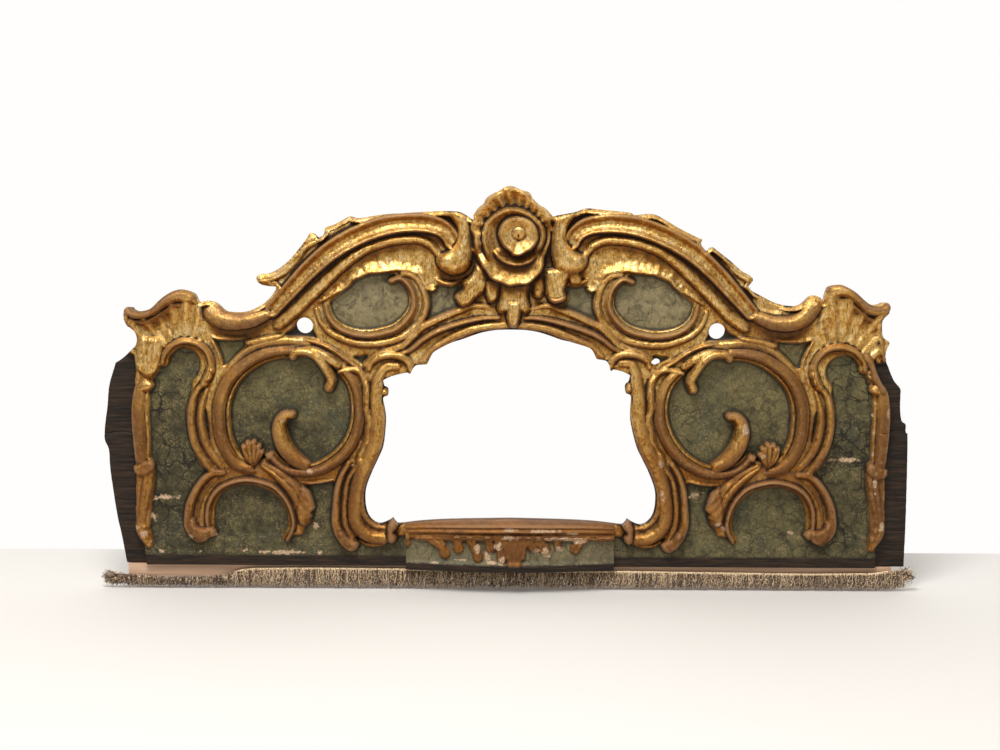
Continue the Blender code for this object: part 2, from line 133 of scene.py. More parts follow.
# How far the leaf is rubbed off across each section: 0 bright, 1 brown
rubbing = {
    "roll": ((-1, .8), (-.5, .62), (0, .42), (.4, .2), (1, .5)),
    "beaded": ((-1, .85), (-.4, .72), (.1, .6), (.4, .42), (.55, .3), (.75, 0), (1, .3)),
    "skirt": ((-1, .85), (-.3, .72), (.05, .5), (.2, .1), (.6, 0), (1, .2)),
    "sharp": ((-1, .65), (0, .55), (.4, .2), (1, .2)),
    "leaf": ((-1, .6), (-.3, .35), (0, .08), (.3, .35), (1, .6)),
    "band": ((-1, .6), (-.74, .3), (-.3, .08), (.3, .1), (.75, .6), (1, .85)),
    "ring": ((-1, .8), (-.7, .7), (-.3, .75), (.2, .62), (.5, .4), (.7, 0), (1, .35)),
    "lip": ((-1, .6), (0, .4), (.5, .2), (1, .7)),
    "cove": ((-1, .5), (0, .15), (.2, 0), (.55, .1), (1, .6)),
}

# Members on the left: section, rise, outer half widths at start, middle and end, the inner side's share of
# them, ripples (share of the height, and number, negative on the outer side), and the line, which has its
# inner side on its left hand
members = {
    "crestBand": ("band", 36, (13, 18, 15), 1, (0, 0), (
        (-469, 519), (-431, 561), (-396, 598), (-359, 631), (-322, 655), (-282, 674), (-241, 687),
        (-201, 692), (-165, 690), (-138, 682), (-122, 668), (-116, 655))),
    "crestHook": ("lip", 28, (8, 11, 13), 1, (0.04, 11), (
        (-141, 631), (-159, 650), (-184, 660), (-224, 659), (-263, 650), (-298, 634), (-336, 605),
        (-377, 566), (-428, 518), (-458, 494))),
    "crestLeaf": ("leaf", 20, (6, 13, 8), 1.0, (0, 0), (
        (-494, 577), (-470, 582), (-446, 595), (-424, 618), (-405, 645), (-378, 660), (-345, 678),
        (-310, 696))),
    "crestCove": ("cove", 19, (3, 4, 3), 9.5, (0.03, 19), (
        (-378, 534), (-361, 543), (-347, 552), (-333, 558), (-320, 568), (-310, 580), (-295, 586),
        (-279, 593), (-264, 594), (-245, 596), (-225, 599), (-202, 597), (-183, 591), (-173, 576),
        (-166, 564), (-157, 558), (-149, 562))),
    "headLip": ("lip", 20, (3, 6, 3), 1, (0, 0), (
        (-148, 580), (-131, 572), (-113, 572), (-101, 579))),
    "ovalInner": ("beaded", 27, (6, 9, 6), 1.1, (0, 0), (
        (-364, 528), (-359, 508), (-346, 490), (-327, 478), (-302, 471), (-276, 470), (-250, 475),
        (-227, 483), (-207, 500), (-195, 518), (-191, 536), (-195, 557), (-206, 574), (-220, 582),
        (-236, 576))),
    "ovalOuter": ("roll", 21, (5, 8, 5), 1.0, (0, 0), (
        (-383, 520), (-375, 497), (-358, 477), (-333, 463), (-302, 454), (-263, 454), (-227, 462),
        (-204, 475), (-184, 493), (-172, 513), (-168, 536), (-174, 562), (-190, 584), (-214, 592))),
    "rimRoll": ("roll", 38, (14, 10, 9), 1, (0, 0), (
        (-633, 543), (-650, 547), (-668, 542), (-687, 529), (-702, 517), (-723, 510), (-741, 510),
        (-752, 515))),
    "rimLip": ("skirt", 28, (3, 4.5, 3), 6.5, (0.05, 12), (
        (-641, 529), (-662, 528), (-681, 516), (-700, 504), (-718, 496), (-736, 496), (-749, 502))),
    "rimSide": ("skirt", 20, (5, 6, 5), 2.6, (0.08, 5), (
        (-738, 487), (-734, 471), (-733, 456), (-731, 441), (-734, 424))),
    "hook": ("ring", 26, (7, 8, 7), 1.2, (0, 0), (
        (-607, 375), (-596, 394), (-594, 415), (-602, 436), (-618, 450), (-638, 455), (-656, 452),
        (-672, 441), (-683, 426), (-686, 412))),
    "hookLeaf": ("leaf", 27, (6, 9, 6), 1, (0.12, 3), (
        (-591, 415), (-594, 398), (-600, 383), (-610, 370))),
    "flange": ("cove", 15, (2.5, 3, 2.5), 6, (0, 0), (
        (-572, 407), (-574, 422), (-580, 439), (-587, 453), (-594, 463))),
    "tailRoll": ("roll", 36, (17, 15, 11), 1, (0, 0), (
        (-586, 512), (-571, 501), (-547, 496), (-517, 498), (-497, 504), (-481, 511))),
    "tailLip": ("cove", 17, (2.5, 3.5, 2.5), 7, (0, 0), (
        (-591, 465), (-579, 461), (-563, 460), (-547, 460), (-531, 461), (-523, 465))),
    "ringLeft": ("ring", 28, (10, 14.5, 13), 1.15, (0, 0), (
        (-435, 436), (-463, 434), (-495, 425), (-523, 409), (-548, 386), (-564, 360), (-574, 327),
        (-575, 294), (-571, 261), (-559, 232), (-542, 210), (-518, 201))),
    "ringRight": ("ring", 27, (8, 12, 10), 1.15, (0, 0), (
        (-476, 227), (-455, 206), (-427, 196), (-390, 198), (-358, 213), (-331, 236), (-312, 267),
        (-303, 304), (-304, 341), (-313, 373), (-329, 396))),
    "innerCurl": ("roll", 32, (8, 15, 12), 1, (0, 0), (
        (-434, 310), (-447, 308), (-457, 295), (-459, 277), (-454, 256), (-443, 236), (-427, 219),
        (-410, 208))),
    "comma": ("roll", 31, (8, 9, 9), 1, (0, 0), (
        (-431, 427), (-423, 436), (-403, 437), (-383, 427), (-367, 406), (-355, 382), (-360, 364))),
    "commaBand": ("roll", 24, (7, 9, 8), 1, (0, 0), (
        (-417, 440), (-391, 439), (-367, 428), (-343, 410))),
    "ringBand": ("roll", 17, (5, 8, 8), 1, (0, 0), (
        (-568, 384), (-554, 406), (-537, 424), (-517, 439), (-490, 451), (-460, 456), (-430, 457),
        (-400, 454))),
    "ringCap": ("sharp", 21, (6, 9, 7), 1, (0, 0), (
        (-407, 460), (-375, 452), (-347, 438), (-319, 417), (-293, 397), (-284, 373))),
    "strand": ("lip", 25, (6, 8, 7), 1, (0.12, 6), (
        (-337, 395), (-316, 401), (-297, 393), (-288, 372), (-287, 349), (-288, 327), (-283, 304),
        (-284, 279), (-289, 253), (-298, 228))),
    "ringFoot": ("cove", 15, (3, 4, 3), 4.5, (0, 0), (
        (-428, 174), (-404, 170), (-380, 172), (-351, 177))),
    "longOuter": ("roll", 24, (5, 8, 7), 1, (0, 0), (
        (-602, 371), (-618, 361), (-629, 338), (-634, 305), (-632, 272), (-625, 244), (-611, 219),
        (-596, 196))),
    "longInner": ("roll", 20, (4, 8, 7), 1, (0, 0), (
        (-602, 359), (-611, 334), (-616, 305), (-613, 276), (-605, 247), (-591, 223), (-576, 204))),
    "shoeOuter": ("roll", 25, (7, 8, 11), 1, (0, 0), (
        (-574, 191), (-593, 190), (-612, 176), (-628, 154), (-639, 129), (-644, 105), (-644, 83), (-636, 67),
        (-624, 57))),
    "shoeHollow": ("sharp", 15, (5, 7, 5), 1, (0, 0), (
        (-580, 176), (-603, 160), (-618, 136), (-625, 109), (-625, 85), (-618, 69))),
    "shoeRidge": ("skirt", 25, (6, 7.5, 7), 1.3, (0, 0), (
        (-449, 55), (-439, 73), (-436, 92), (-441, 116), (-452, 139), (-471, 160), (-496, 171), (-525, 176),
        (-551, 172), (-576, 161), (-593, 143), (-603, 119), (-605, 93), (-603, 69))),
    "shoeApron": ("roll", 14, (14, 20, 14), 1, (0, 0), (
        (-465, 172), (-497, 190), (-526, 191), (-553, 185), (-576, 174))),
    "shoeBand": ("leaf", 24, (9, 17, 14), 1, (0.04, 4), (
        (-492, 207), (-468, 192), (-445, 172), (-426, 149), (-416, 123), (-414, 96))),
    "shoeTip": ("sharp", 26, (3, 4, 3), 1, (0, 0), (
        (-435, 172), (-414, 156), (-402, 137), (-396, 117))),
    "jamb": ("roll", 27, (9, 14, 12), 1, (0, 0), (
        (-225, 408), (-247, 405), (-260, 389), (-265, 367), (-267, 336), (-265, 305), (-268, 271),
        (-277, 237), (-290, 208), (-300, 179), (-307, 151), (-311, 122), (-310, 96), (-299, 74), (-277, 60),
        (-255, 57))),
    "jambBead": ("roll", 19, (4, 5.5, 5), 1, (0, 0), (
        (-254, 346), (-253, 303), (-256, 269), (-265, 235), (-279, 205), (-291, 176), (-298, 147),
        (-297, 119), (-287, 96), (-271, 83), (-251, 79))),
    "footLip": ("lip", 14, (2.5, 3.5, 2.5), 1, (0, 0), (
        (-302, 52), (-290, 45), (-273, 42), (-255, 43))),
    "foot": ("roll", 28, (6, 7.5, 11), 1, (0, 0), (
        (-322, 213), (-336, 187), (-345, 157), (-348, 122), (-349, 91), (-341, 66), (-326, 47))),
    "footRidge": ("roll", 24, (4, 6, 6), 1, (0, 0), (
        (-307, 206), (-323, 179), (-329, 150), (-332, 116), (-329, 84), (-317, 58))),
    "footRoot": ("leaf", 25, (7, 9, 6), 1, (0, 0), (
        (-293, 239), (-299, 223), (-304, 210))),
    "cornerArch": ("roll", 27, (6, 8, 7), 1, (0, 0), (
        (-281, 402), (-275, 417), (-255, 429), (-233, 432), (-214, 427), (-201, 415), (-196, 399))),
    "stripUpper": ("ring", 20, (13, 16, 12), 1, (0.08, -7), (
        (-722, 369), (-732, 353), (-736, 312), (-735, 271), (-734, 229), (-731, 194))),
    "stripLower": ("leaf", 18, (9, 12, 9), 1, (0.06, 4), (
        (-720, 209), (-723, 179), (-728, 150), (-734, 121), (-738, 95))),
    "stripFoot": ("leaf", 18, (9, 13, 7), 1, (0.08, 3), (
        (-742, 93), (-739, 74), (-732, 58), (-726, 41))),
    "archOuter": ("roll", 22, (5, 8, 7), 1.0, (0, 0), (
        (-36, 523), (-71, 529), (-97, 520), (-122, 511), (-148, 499), (-174, 486), (-193, 468), (-214, 449),
        (-245, 437), (-266, 428), (-286, 411))),
    "archRidge": ("skirt", 29, (5, 8, 6), 2.0, (0, 0), (
        (-24, 505), (-60, 503), (-109, 491), (-148, 476), (-174, 460), (-199, 440), (-225, 431))),
    "archLip": ("roll", 23, (8, 8, 8), 1.0, (0, 0), (
        (0, 491), (-61, 486), (-97, 475), (-135, 455), (-158, 438), (-176, 418))),
}

# Small knobs on the left: place, half width, half height and rise
knobs = {
    "waist": (-250, 355, 7, 8, 17), "strandEnd": (-298, 218, 8, 9, 26), "lipEnd": (-196, 400, 8, 9, 25),
    "shellA": (-531, 244, 6, 7, 25), "shellB": (-522, 252, 6.5, 7, 26), "shellC": (-511, 253, 6.5, 7, 26),
    "shellD": (-501, 245, 6, 7, 25), "shellE": (-495, 234, 5, 6, 24),
}

# Lobes on the left: rise, softness of the rounded edge, how rubbed, flutes (focus, number to a full turn and
# depth) and the outline
lobes = {
    "fanLeaf": (23, 6, 0.1, ((-717, 338), 62, 1.7), (
        (-733, 468), (-712, 466), (-691, 460), (-688, 428), (-695, 404), (-704, 388), (-714, 381),
        (-724, 385), (-734, 395), (-742, 407), (-737, 436))),
    "crestBulb": (43, 11, 0.1, None, (
        (-137, 726), (-109, 727), (-88, 719), (-78, 690), (-77, 662), (-78, 625), (-85, 604), (-101, 592),
        (-121, 591), (-138, 601), (-147, 615), (-144, 629), (-130, 635), (-115, 644), (-105, 660),
        (-105, 679), (-117, 700))),
    "shoeEnd": (27, 5, 0.75, None, (
        (-645, 96), (-642, 69), (-632, 55), (-617, 49), (-604, 56), (-598, 69), (-604, 81), (-616, 79),
        (-627, 84), (-633, 99))),
    "shoeScrap": (24, 3, 0.8, None, (
        (-606, 81), (-596, 79), (-589, 69), (-597, 59), (-605, 62))),
    "footEnd": (29, 5, 0.7, None, (
        (-348, 79), (-346, 56), (-335, 41), (-321, 31), (-307, 36), (-303, 48), (-312, 57), (-323, 60),
        (-334, 75))),
    "sillCurl": (34, 3.5, 0.75, None, (
        (-245, 88), (-235, 100), (-225, 94), (-226, 81), (-234, 73), (-228, 65), (-230, 53), (-239, 48),
        (-246, 56), (-247, 71))),
    "shoeScallop": (25, 4, 0.45, ((-470, 190), 40, 1.2), (
        (-417, 167), (-402, 156), (-393, 133), (-391, 118), (-398, 112), (-396, 102), (-407, 96), (-409, 84),
        (-421, 89), (-427, 112), (-424, 142))),
    "shell": (24, 4, 0.5, ((-512, 200), 25, 2.6), (
        (-536, 238), (-531, 250), (-517, 257), (-505, 251), (-496, 241), (-492, 230), (-501, 216),
        (-511, 205), (-523, 213), (-533, 226))),
    "shellCurl": (23, 3, 0.6, None, (
        (-491, 230), (-477, 235), (-470, 230), (-472, 220), (-485, 218))),
    "stripHead": (19, 3.5, 0.35, None, (
        (-735, 370), (-725, 378), (-711, 375), (-706, 366), (-713, 358), (-721, 354), (-733, 355),
        (-741, 358))),
    "stripJoin": (20, 3.5, 0.6, None, (
        (-753, 203), (-738, 209), (-721, 216), (-711, 209), (-713, 195), (-726, 184), (-741, 184),
        (-751, 191))),
    "ringTab": (20, 4, 0.2, None, (
        (-525, 457), (-504, 463), (-475, 469), (-455, 472), (-445, 469), (-460, 461), (-488, 455),
        (-510, 448), (-523, 448))),
}

# Painted fields on the left, sunk into the gilded ground: outlines that run under the members around them
fields = {
    "side": ((-716, 368), (-697, 396), (-682, 421), (-664, 440), (-643, 442), (-621, 430), (-614, 409),
              (-620, 387), (-631, 374), (-633, 356), (-644, 319), (-643, 277), (-636, 244), (-621, 207),
              (-607, 188), (-643, 144), (-654, 110), (-649, 64), (-646, 17), (-728, 16), (-722, 89),
              (-714, 164), (-714, 214), (-720, 235)),
    "medallion": ((-438, 422), (-466, 421), (-495, 412), (-521, 395), (-546, 373), (-560, 348), (-569, 319),
              (-570, 290), (-565, 257), (-551, 228), (-527, 213), (-498, 218), (-470, 226), (-445, 210),
              (-419, 204), (-388, 208), (-360, 223), (-337, 246), (-322, 271), (-314, 300), (-315, 337),
              (-325, 370), (-337, 390), (-353, 406), (-385, 423)),
    "shoe": ((-604, 39), (-605, 67), (-604, 98), (-599, 122), (-580, 148), (-555, 162), (-528, 165),
              (-497, 159), (-471, 145), (-450, 117), (-442, 87), (-445, 68), (-453, 54), (-454, 40)),
    "foot": ((-421, 48), (-410, 82), (-396, 107), (-397, 137), (-413, 162), (-381, 169), (-352, 173),
              (-351, 145), (-353, 82), (-347, 48)),
    "oval": ((-359, 533), (-343, 546), (-326, 558), (-320, 568), (-296, 584), (-273, 590), (-246, 592),
              (-226, 588), (-203, 572), (-196, 549), (-200, 518), (-215, 494), (-243, 474), (-282, 468),
              (-317, 472), (-344, 488), (-359, 507)),
    "corner": ((-593, 462), (-573, 457), (-549, 456), (-528, 460), (-525, 446), (-541, 429), (-560, 410),
              (-576, 409), (-579, 423), (-584, 445)),
    "crestFoot": ((-166, 557), (-145, 568), (-122, 565), (-100, 569), (-96, 563), (-114, 546), (-102, 524),
              (-133, 506), (-170, 487), (-168, 522)),
    "wedge": ((-316, 429), (-298, 427), (-281, 431), (-287, 417), (-292, 401), (-304, 414)),
    "slot": ((-609, 319), (-605, 321), (-599, 261), (-598, 240), (-604, 244), (-612, 277)),
    "holeRecess": ((-452, 469), (-431, 481), (-419, 495), (-409, 500), (-398, 499), (-391, 481), (-383, 460),
              (-411, 466), (-440, 467)),
}

# Gilded ground: its height, that of the band round the opening, and the corner fans: middle, flutes and their
# depth, and the rise to the rim and about the hook (from and to which radius, and how high)
ground = {"height": 9.0, "arch": 5.0, "fanMiddle": (-642, 400), "fanFlutes": 27, "fanDepth": 4.6,
          "fanRim": (60, 150, 15), "fanHeart": (105, 62, 5)}
coves = {"share": 0.76, "reach": 10.0}
upperRim = {"above": 440, "wide": 6, "share": 0.8, "soft": 3}  # the carving keeps its height to this edge

# Hand of the carver, in mm: waves and facets on the gilding, unevenness of the planks, chips, cracks and worn
# edges; how much of the waves is left near the rosette, and from and to which radius
carver = {"wave": 2.4, "facet": 2.2, "plank": 0.5, "chip": 0.8, "crack": 2.5, "edge": 2.5,
          "calm": 0.4, "calmReach": (60, 100)}

# How members and lobes swell: what is left of the rise at a member's ends, and at a knob's and a lobe's rim
swelling = {"memberEnd": 0.78, "knobRim": 0.35, "lobeRim": 0.62}
archBand = ((10, 528), (-71, 531), (-122, 512), (-174, 488), (-212, 447), (-266, 430), (-286, 412),
            (-290, 380), (-253, 378), (-207, 393), (-166, 410), (-150, 438), (-97, 462), (0, 480), (10, 482))
fan = ((-756, 512), (-722, 512), (-690, 530), (-655, 552), (-622, 545), (-604, 500), (-600, 460), (-612, 440),
       (-640, 462), (-675, 450), (-690, 412), (-693, 398), (-710, 381), (-733, 393), (-746, 404), (-738, 440),
       (-748, 480))

# Rosette: shells about its heart, each with its angles in degrees, the radii of its lip there, the height of
# the lip, its fall outside, the reach of the hollow inside, the height of the hollow's foot, the depth of the
# flutes, and the angles between which it shows
rosette = {
    "heart": (13, 672), "button": (13, 675, 12.5, 9), "body": 34,
    "fade": 34, "frill": (1.3, 17), "flutes": 24,
    "outer": ((-4, 11, 27, 40, 53, 67, 75, 87, 95, 102, 111, 119, 130, 141, 155, 163, 178, 192, 204, 212, 225,
               236, 246, 256, 266, 278, 290, 300, 309, 316, 332, 356),
              (62, 61, 63, 66, 64, 71, 79, 84, 89, 92, 91, 89, 88, 86, 91, 90, 86, 86, 92, 94, 96,
               99, 102, 101, 100, 98, 93, 84, 76, 68, 63.5, 62)),
    "shells": {
        "fan": ((20, 40, 53, 67, 75, 87, 95, 102, 111, 119, 130, 141, 155, 166, 180, 196, 212),
                (63, 65, 64, 70, 78, 84, 89, 93, 93, 90, 89, 87, 92, 92, 86, 84, 90),
                52, 6, 46, 34, 2.6, (-2, 222)),
        "lip": ((205, 217, 225, 236, 246, 256, 266, 278, 290, 300, 309, 317, 328),
                (90, 89, 94, 97, 100, 99, 98, 96, 91, 82, 74, 64, 55),
                51, 5, 44, 38, 0.4, (192, 334)),
        "petal": ((-60, -20, 20, 40, 60, 83, 102, 117, 134, 148, 163, 177, 194, 210, 226, 240),
                  (47, 47, 46, 43, 43, 45, 49, 53, 56, 60, 65, 67, 68, 70, 76, 82),
                  62, 7, 34, 42, 0, (-60, 240)),
        "crescent": ((190, 225, 240, 255, 271, 287, 301, 315),
                     (56, 58, 59, 58.5, 57.5, 56.5, 54.5, 51),
                     60, 7, 22, 43, 0, (192, 326)),
        "ring": ((-90, -66, -38, -16, 17, 50, 81, 117, 147, 177, 207, 236, 256, 270),
                 (37.5, 33, 34, 35, 33.5, 32.6, 31.6, 34, 36, 35.5, 33.5, 33, 36, 37.5),
                 72, 7, 34, 57, 0, (-999, 999)),
    },
}

# Leaves below the rosette, not mirrored, as lobes
middleLobes = {
    "leafLeft": (34, 5, 0.1, ((-30, 680), 95, 1.1), (
        (-70, 614), (-76, 596), (-86, 584), (-98, 578), (-95, 562), (-110, 550), (-107, 537), (-97, 527),
        (-82, 532), (-69, 546), (-57, 554), (-50, 567), (-48, 590), (-56, 606))),
    "leafLeftInner": (31, 4, 0.15, ((-30, 680), 95, 1.0), (
        (-52, 582), (-52, 566), (-51, 552), (-46, 538), (-38, 535), (-30, 541), (-25, 551), (-24, 582))),
    "collar": (33, 5, 0.1, ((4, 720), 150, 1.0), (
        (-26, 582), (-24, 565), (-23, 546), (-28, 533), (-27, 518), (-18, 514), (-8, 520), (2, 516),
        (17, 520), (28, 514), (36, 524), (32, 546), (34, 563), (36, 582))),
    "tongue": (39, 4, 0.25, None, (
        (-9, 540), (-9, 503), (-3, 489), (8, 487), (15, 500), (17, 540))),
    "leafRightInner": (31, 4, 0.15, ((40, 680), 95, 1.0), (
        (42, 584), (42, 566), (41, 551), (49, 545), (59, 546), (62, 562), (60, 586))),
    "leafRight": (34, 5, 0.2, ((50, 680), 95, 1.1), (
        (64, 604), (65, 583), (66, 561), (67, 551), (76, 540), (91, 540), (106, 545), (104, 562), (110, 581),
        (114, 596), (92, 606))),
    "leafRightRoll": (38, 3.5, 0.6, None, (
        (68, 553), (76, 538), (92, 536), (107, 544), (103, 553), (86, 548))),
    "rightJoin": (22, 3.5, 0.75, None, (
        (694, 442), (708, 435), (715, 422), (722, 402), (732, 381), (741, 365), (739, 354), (731, 357),
        (721, 376), (713, 381), (708, 402), (701, 418), (694, 427))),
    "lobeRight": (28, 3.5, 0.2, None, (
        (108, 594), (113, 574), (124, 570), (136, 576), (134, 592), (120, 600))),
}

# Side margins where the boards are bare: how far in they reach at each height; and the right shell's lost tip
margins = {"below": 430, "z": (0, 46, 60, 100, 200, 300, 380, 398, 425, 440),
           "left": (-733, -738, -750, -752, -748, -751, -745, -742, -744, -760),
           "right": (738, 736, 748, 752, 748, 749, 738, 726, 745, 760)}
lostTip = ((714, 422), (723, 430), (736, 432), (756, 427), (794, 361), (777, 351), (747, 351),
           (740, 363), (730, 381), (722, 399))

# The boards' foot slopes out to a bare edge
rail = {"low": 21.0, "high": 62.0, "proud": 9.0, "lip": 2.0, "inner": 200.0, "bareFrom": 205.0}

# Cracks between the planks: height, length of their waves, half width, and the x beyond which they run
plankCracks = ((269, 9, 1.0, -742), (280, 11, 1.2, 732))

# Where the leaf is worn off most: place, reach and how much
wear = (
    (-540, 505, 50, .5), (-690, 535, 45, .5), (-750, 520, 25, .5), (545, 515, 50, .35), (690, 545, 45, .45),
        (750, 525, 25, .5), (-570, 300, 45, .3), (-310, 300, 40, .3), (-430, 195, 60, .3), (570, 300, 45, .3),
        (320, 300, 40, .3), (430, 195, 60, .3), (-735, 250, 40, .3), (738, 170, 110, .8), (-630, 90, 40, .3),
        (-480, 445, 60, .3), (-300, 470, 40, .2), (480, 450, 60, .35))

# Losses down to the pale ground: place, half width, half height
chips = (
    (-458, 27, 62, 4), (-701, 28, 6, 3), (-621, 28, 6, 3), (-534, 30, 5, 3), (-695, 137, 22, 5),
    (-716, 100, 8, 9), (670, 221, 32, 5), (371, 144, 15, 8), (490, 10, 6, 3), (303, 155, 5, 12),
    (-733, 66, 7, 8), (-640, 60, 5, 4), (727, 178, 7, 14), (744, 90, 6, 12), (415, 95, 8, 6),
    (428, 80, 5, 6), (640, 62, 6, 5), (-395, 196, 12, 5), (-392, 82, 5, 7), (-315, 208, 5, 4),
    (463, 283, 8, 12), (-452, 300, 6, 5), (-748, 80, 6, 10), (300, 215, 5, 7), (719, 312, 2, 7),
    (747, 317, 2, 7), (722, 234, 2, 7), (750, 222, 2, 7), (721, 276, 2, 7), (565, 70, 5, 4),
    (-592, 62, 5, 4), (-722, 48, 6, 5), (500, 232, 6, 4),
)


# A smooth line through the points: Catmull-Rom cubics, then cut into equal steps of its length
def smoothLine(points, spacing):
    knots = np.array(points, float)
    knots = np.vstack([2 * knots[0] - knots[1], knots, 2 * knots[-1] - knots[-2]])
    a, b, c, d = knots[:-3, None], knots[1:-2, None], knots[2:-1, None], knots[3:, None]
    t = np.linspace(0, 1, 16, endpoint=False)[None, :, None]
    square, cube = 2 * a - 5 * b + 4 * c - d, 3 * b - a - 3 * c + d
    cubic = 0.5 * (2 * b + (c - a) * t + square * t ** 2 + cube * t ** 3)
    curve = np.vstack([cubic.reshape(-1, 2), knots[-2:-1]])
    reach = np.r_[0, np.cumsum(np.linalg.norm(np.diff(curve, axis=0), axis=1))]
    stops = np.linspace(0, reach[-1], max(2, int(reach[-1] / spacing)) + 1)
    return np.column_stack([np.interp(stops, reach, curve[:, 0]), np.interp(stops, reach, curve[:, 1])])


# The right side's copy: mirrored in x, then moved by Gaussian shifts
def rightHand(points):
    mirrored = np.array(points, float) * (-1, 1)
    moved = mirrored.copy()
    for x, z, dx, dz, reach in rightShifts:
        near = np.exp(-((mirrored[:, 0] - x) ** 2 + (mirrored[:, 1] - z) ** 2) / reach ** 2)
        moved += near[:, None] * (dx, dz)
    return moved


# Value noise on the drawing's grid: random numbers at knots, joined by smoothstep in both directions
def clouds(size, seed, octaves=1, stretch=1.0, at=None):
    placeX, placeZ = at or (gridX, gridZ)
    total, weight = np.zeros(placeX.shape), 0.0
    for k in range(octaves):
        cell = size / 2 ** k
        rng = np.random.default_rng(seed + 17 * k)
        across = (placeX - placeX.min()) / (cell * stretch)
        up = (placeZ - placeZ.min()) / cell
        table = rng.random((int(up.max()) + 3, int(across.max()) + 3))
        i, j = up.astype(int), across.astype(int)
        u, v = up - i, across - j
        u, v = u * u * (3 - 2 * u), v * v * (3 - 2 * v)
        value = (table[i, j] * (1 - u) * (1 - v) + table[i + 1, j] * u * (1 - v)
                 + table[i, j + 1] * (1 - u) * v + table[i + 1, j + 1] * u * v)
        total += value / 2 ** k
        weight += 1 / 2 ** k
    return total / weight


# A soft blur: a running mean taken twice along each axis, close to a Gaussian
def blurred(field, radius, step=None):
    n = max(1, int(round(radius / (step or boards["step"]))))
    for axis in (0, 1):
        for _ in range(2):
            padded = np.concatenate([np.repeat(np.take(field, [0], axis), n + 1, axis), field,
                                     np.repeat(np.take(field, [-1], axis), n, axis)], axis)
            total = np.cumsum(padded, axis)
            size = field.shape[axis]
            ahead = np.take(total, np.arange(2 * n + 1, 2 * n + 1 + size), axis)
            field = (ahead - np.take(total, np.arange(size), axis)) / (2 * n + 1)
    return field


def smoothStep(low, high, value):
    t = np.clip((value - low) / (high - low), 0, 1)
    return t * t * (3 - 2 * t)


# A mask without its outermost points, as often as steps says
def shrunk(mask, steps):
    for _ in range(steps):
        mask = mask & np.roll(mask, 1, 0) & np.roll(mask, -1, 0) & np.roll(mask, 1, 1) & np.roll(mask, -1, 1)
    return mask


# Inside of a closed outline: for each grid row, the crossings to its left are counted
def insideOf(loop):
    loop = np.asarray(loop, float)
    x0, z0 = loop[:, 0], loop[:, 1]
    x1, z1 = np.roll(x0, -1), np.roll(z0, -1)
    result = np.zeros(gridX.shape, bool)
    xs = gridX[0]
    for row, z in enumerate(gridZ[:, 0]):
        hit = (z0 <= z) != (z1 <= z)
        if hit.any():
            at = x0[hit] + (z - z0[hit]) / (z1[hit] - z0[hit]) * (x1[hit] - x0[hit])
            result[row] = np.searchsorted(np.sort(at), xs) % 2 == 1
    return result


# Where points fall along a line: share of its length, distance to its left, distance past its ends
def nearLine(line, px, pz):
    nearest = np.full(px.shape, 1e12, np.float32)
    which = np.zeros(px.shape, np.int32)
    for k, (x, z) in enumerate(line.astype(np.float32)):
        distance = (px - x) ** 2 + (pz - z) ** 2
        closer = distance < nearest
        nearest[closer] = distance[closer]
        which[closer] = k
    heading = np.gradient(line, axis=0)
    heading /= np.linalg.norm(heading, axis=1)[:, None]
    dx, dz = px - line[which, 0], pz - line[which, 1]
    tx, tz = heading[which, 0], heading[which, 1]
    ahead, left = dx * tx + dz * tz, dz * tx - dx * tz
    spacing = np.linalg.norm(line[1] - line[0])
    share = np.clip((which * spacing + ahead) / (spacing * (len(line) - 1)), 0, 1)
    past = np.where(((which == 0) & (ahead < 0)) | ((which == len(line) - 1) & (ahead > 0)), np.abs(ahead), 0)
    return share, left, past


# The same for the part of the boards' grid around a line
def alongLine(line, reach):
    low, high = line.min(0) - reach, line.max(0) + reach
    step = boards["step"]
    c0 = max(0, int((low[0] - boards["wide"][0]) / step))
    c1 = min(gridX.shape[1], int((high[0] - boards["wide"][0]) / step) + 2)
    r0 = max(0, int((low[1] - boards["tall"][0]) / step))
    r1 = min(gridX.shape[0], int((high[1] - boards["tall"][0]) / step) + 2)
    window = (slice(r0, r1), slice(c0, c1))
    return (window, *nearLine(line, gridX[window].astype(np.float32), gridZ[window].astype(np.float32)))


# A member: its section, scaled by half widths that change along it, raised where it is higher than the rest
def carveMember(section, rise, halves, inner, ripples, line, mirrored):
    start, middle, end = halves
    window, share, left, past = alongLine(line, max(halves) * max(1, inner) * boards["fullness"] + 4)
    if mirrored:
        left = -left
    outer = start * (1 - share) + end * share + (2 * middle - start - end) * 2 * share * (1 - share)
    outer = outer * boards["fullness"]
    wide = np.where(left > 0, outer * inner, outer)
    v = left / wide
    v = np.sign(v) * np.sqrt(v ** 2 + (past / outer) ** 2)
    table = np.array(sections[section], float)
    height = np.interp(v, table[:, 0], table[:, 1], left=0, right=0) * rise
    height *= swelling["memberEnd"] + (1 - swelling["memberEnd"]) * np.sin(np.pi * np.clip(share, 0.0, 1.0))
    if ripples[1]:
        wave = np.cos(2 * np.pi * ripples[1] * share)
        onSide = v * np.sign(ripples[1])
        height += rise * ripples[0] * wave * np.sin(np.pi * np.clip(onSide, 0, 1)) * (onSide < 1)
    body = np.abs(v) < 1
    raised = body & (height > relief[window])
    relief[window] = np.where(raised, height, relief[window])
    table = np.array(rubbing[section], float)
    rubbed[window] = np.where(raised, np.interp(v, table[:, 0], table[:, 1]), rubbed[window])
    gilded[window] = np.maximum(gilded[window], smoothStep(1.02, 0.9, np.abs(v)))


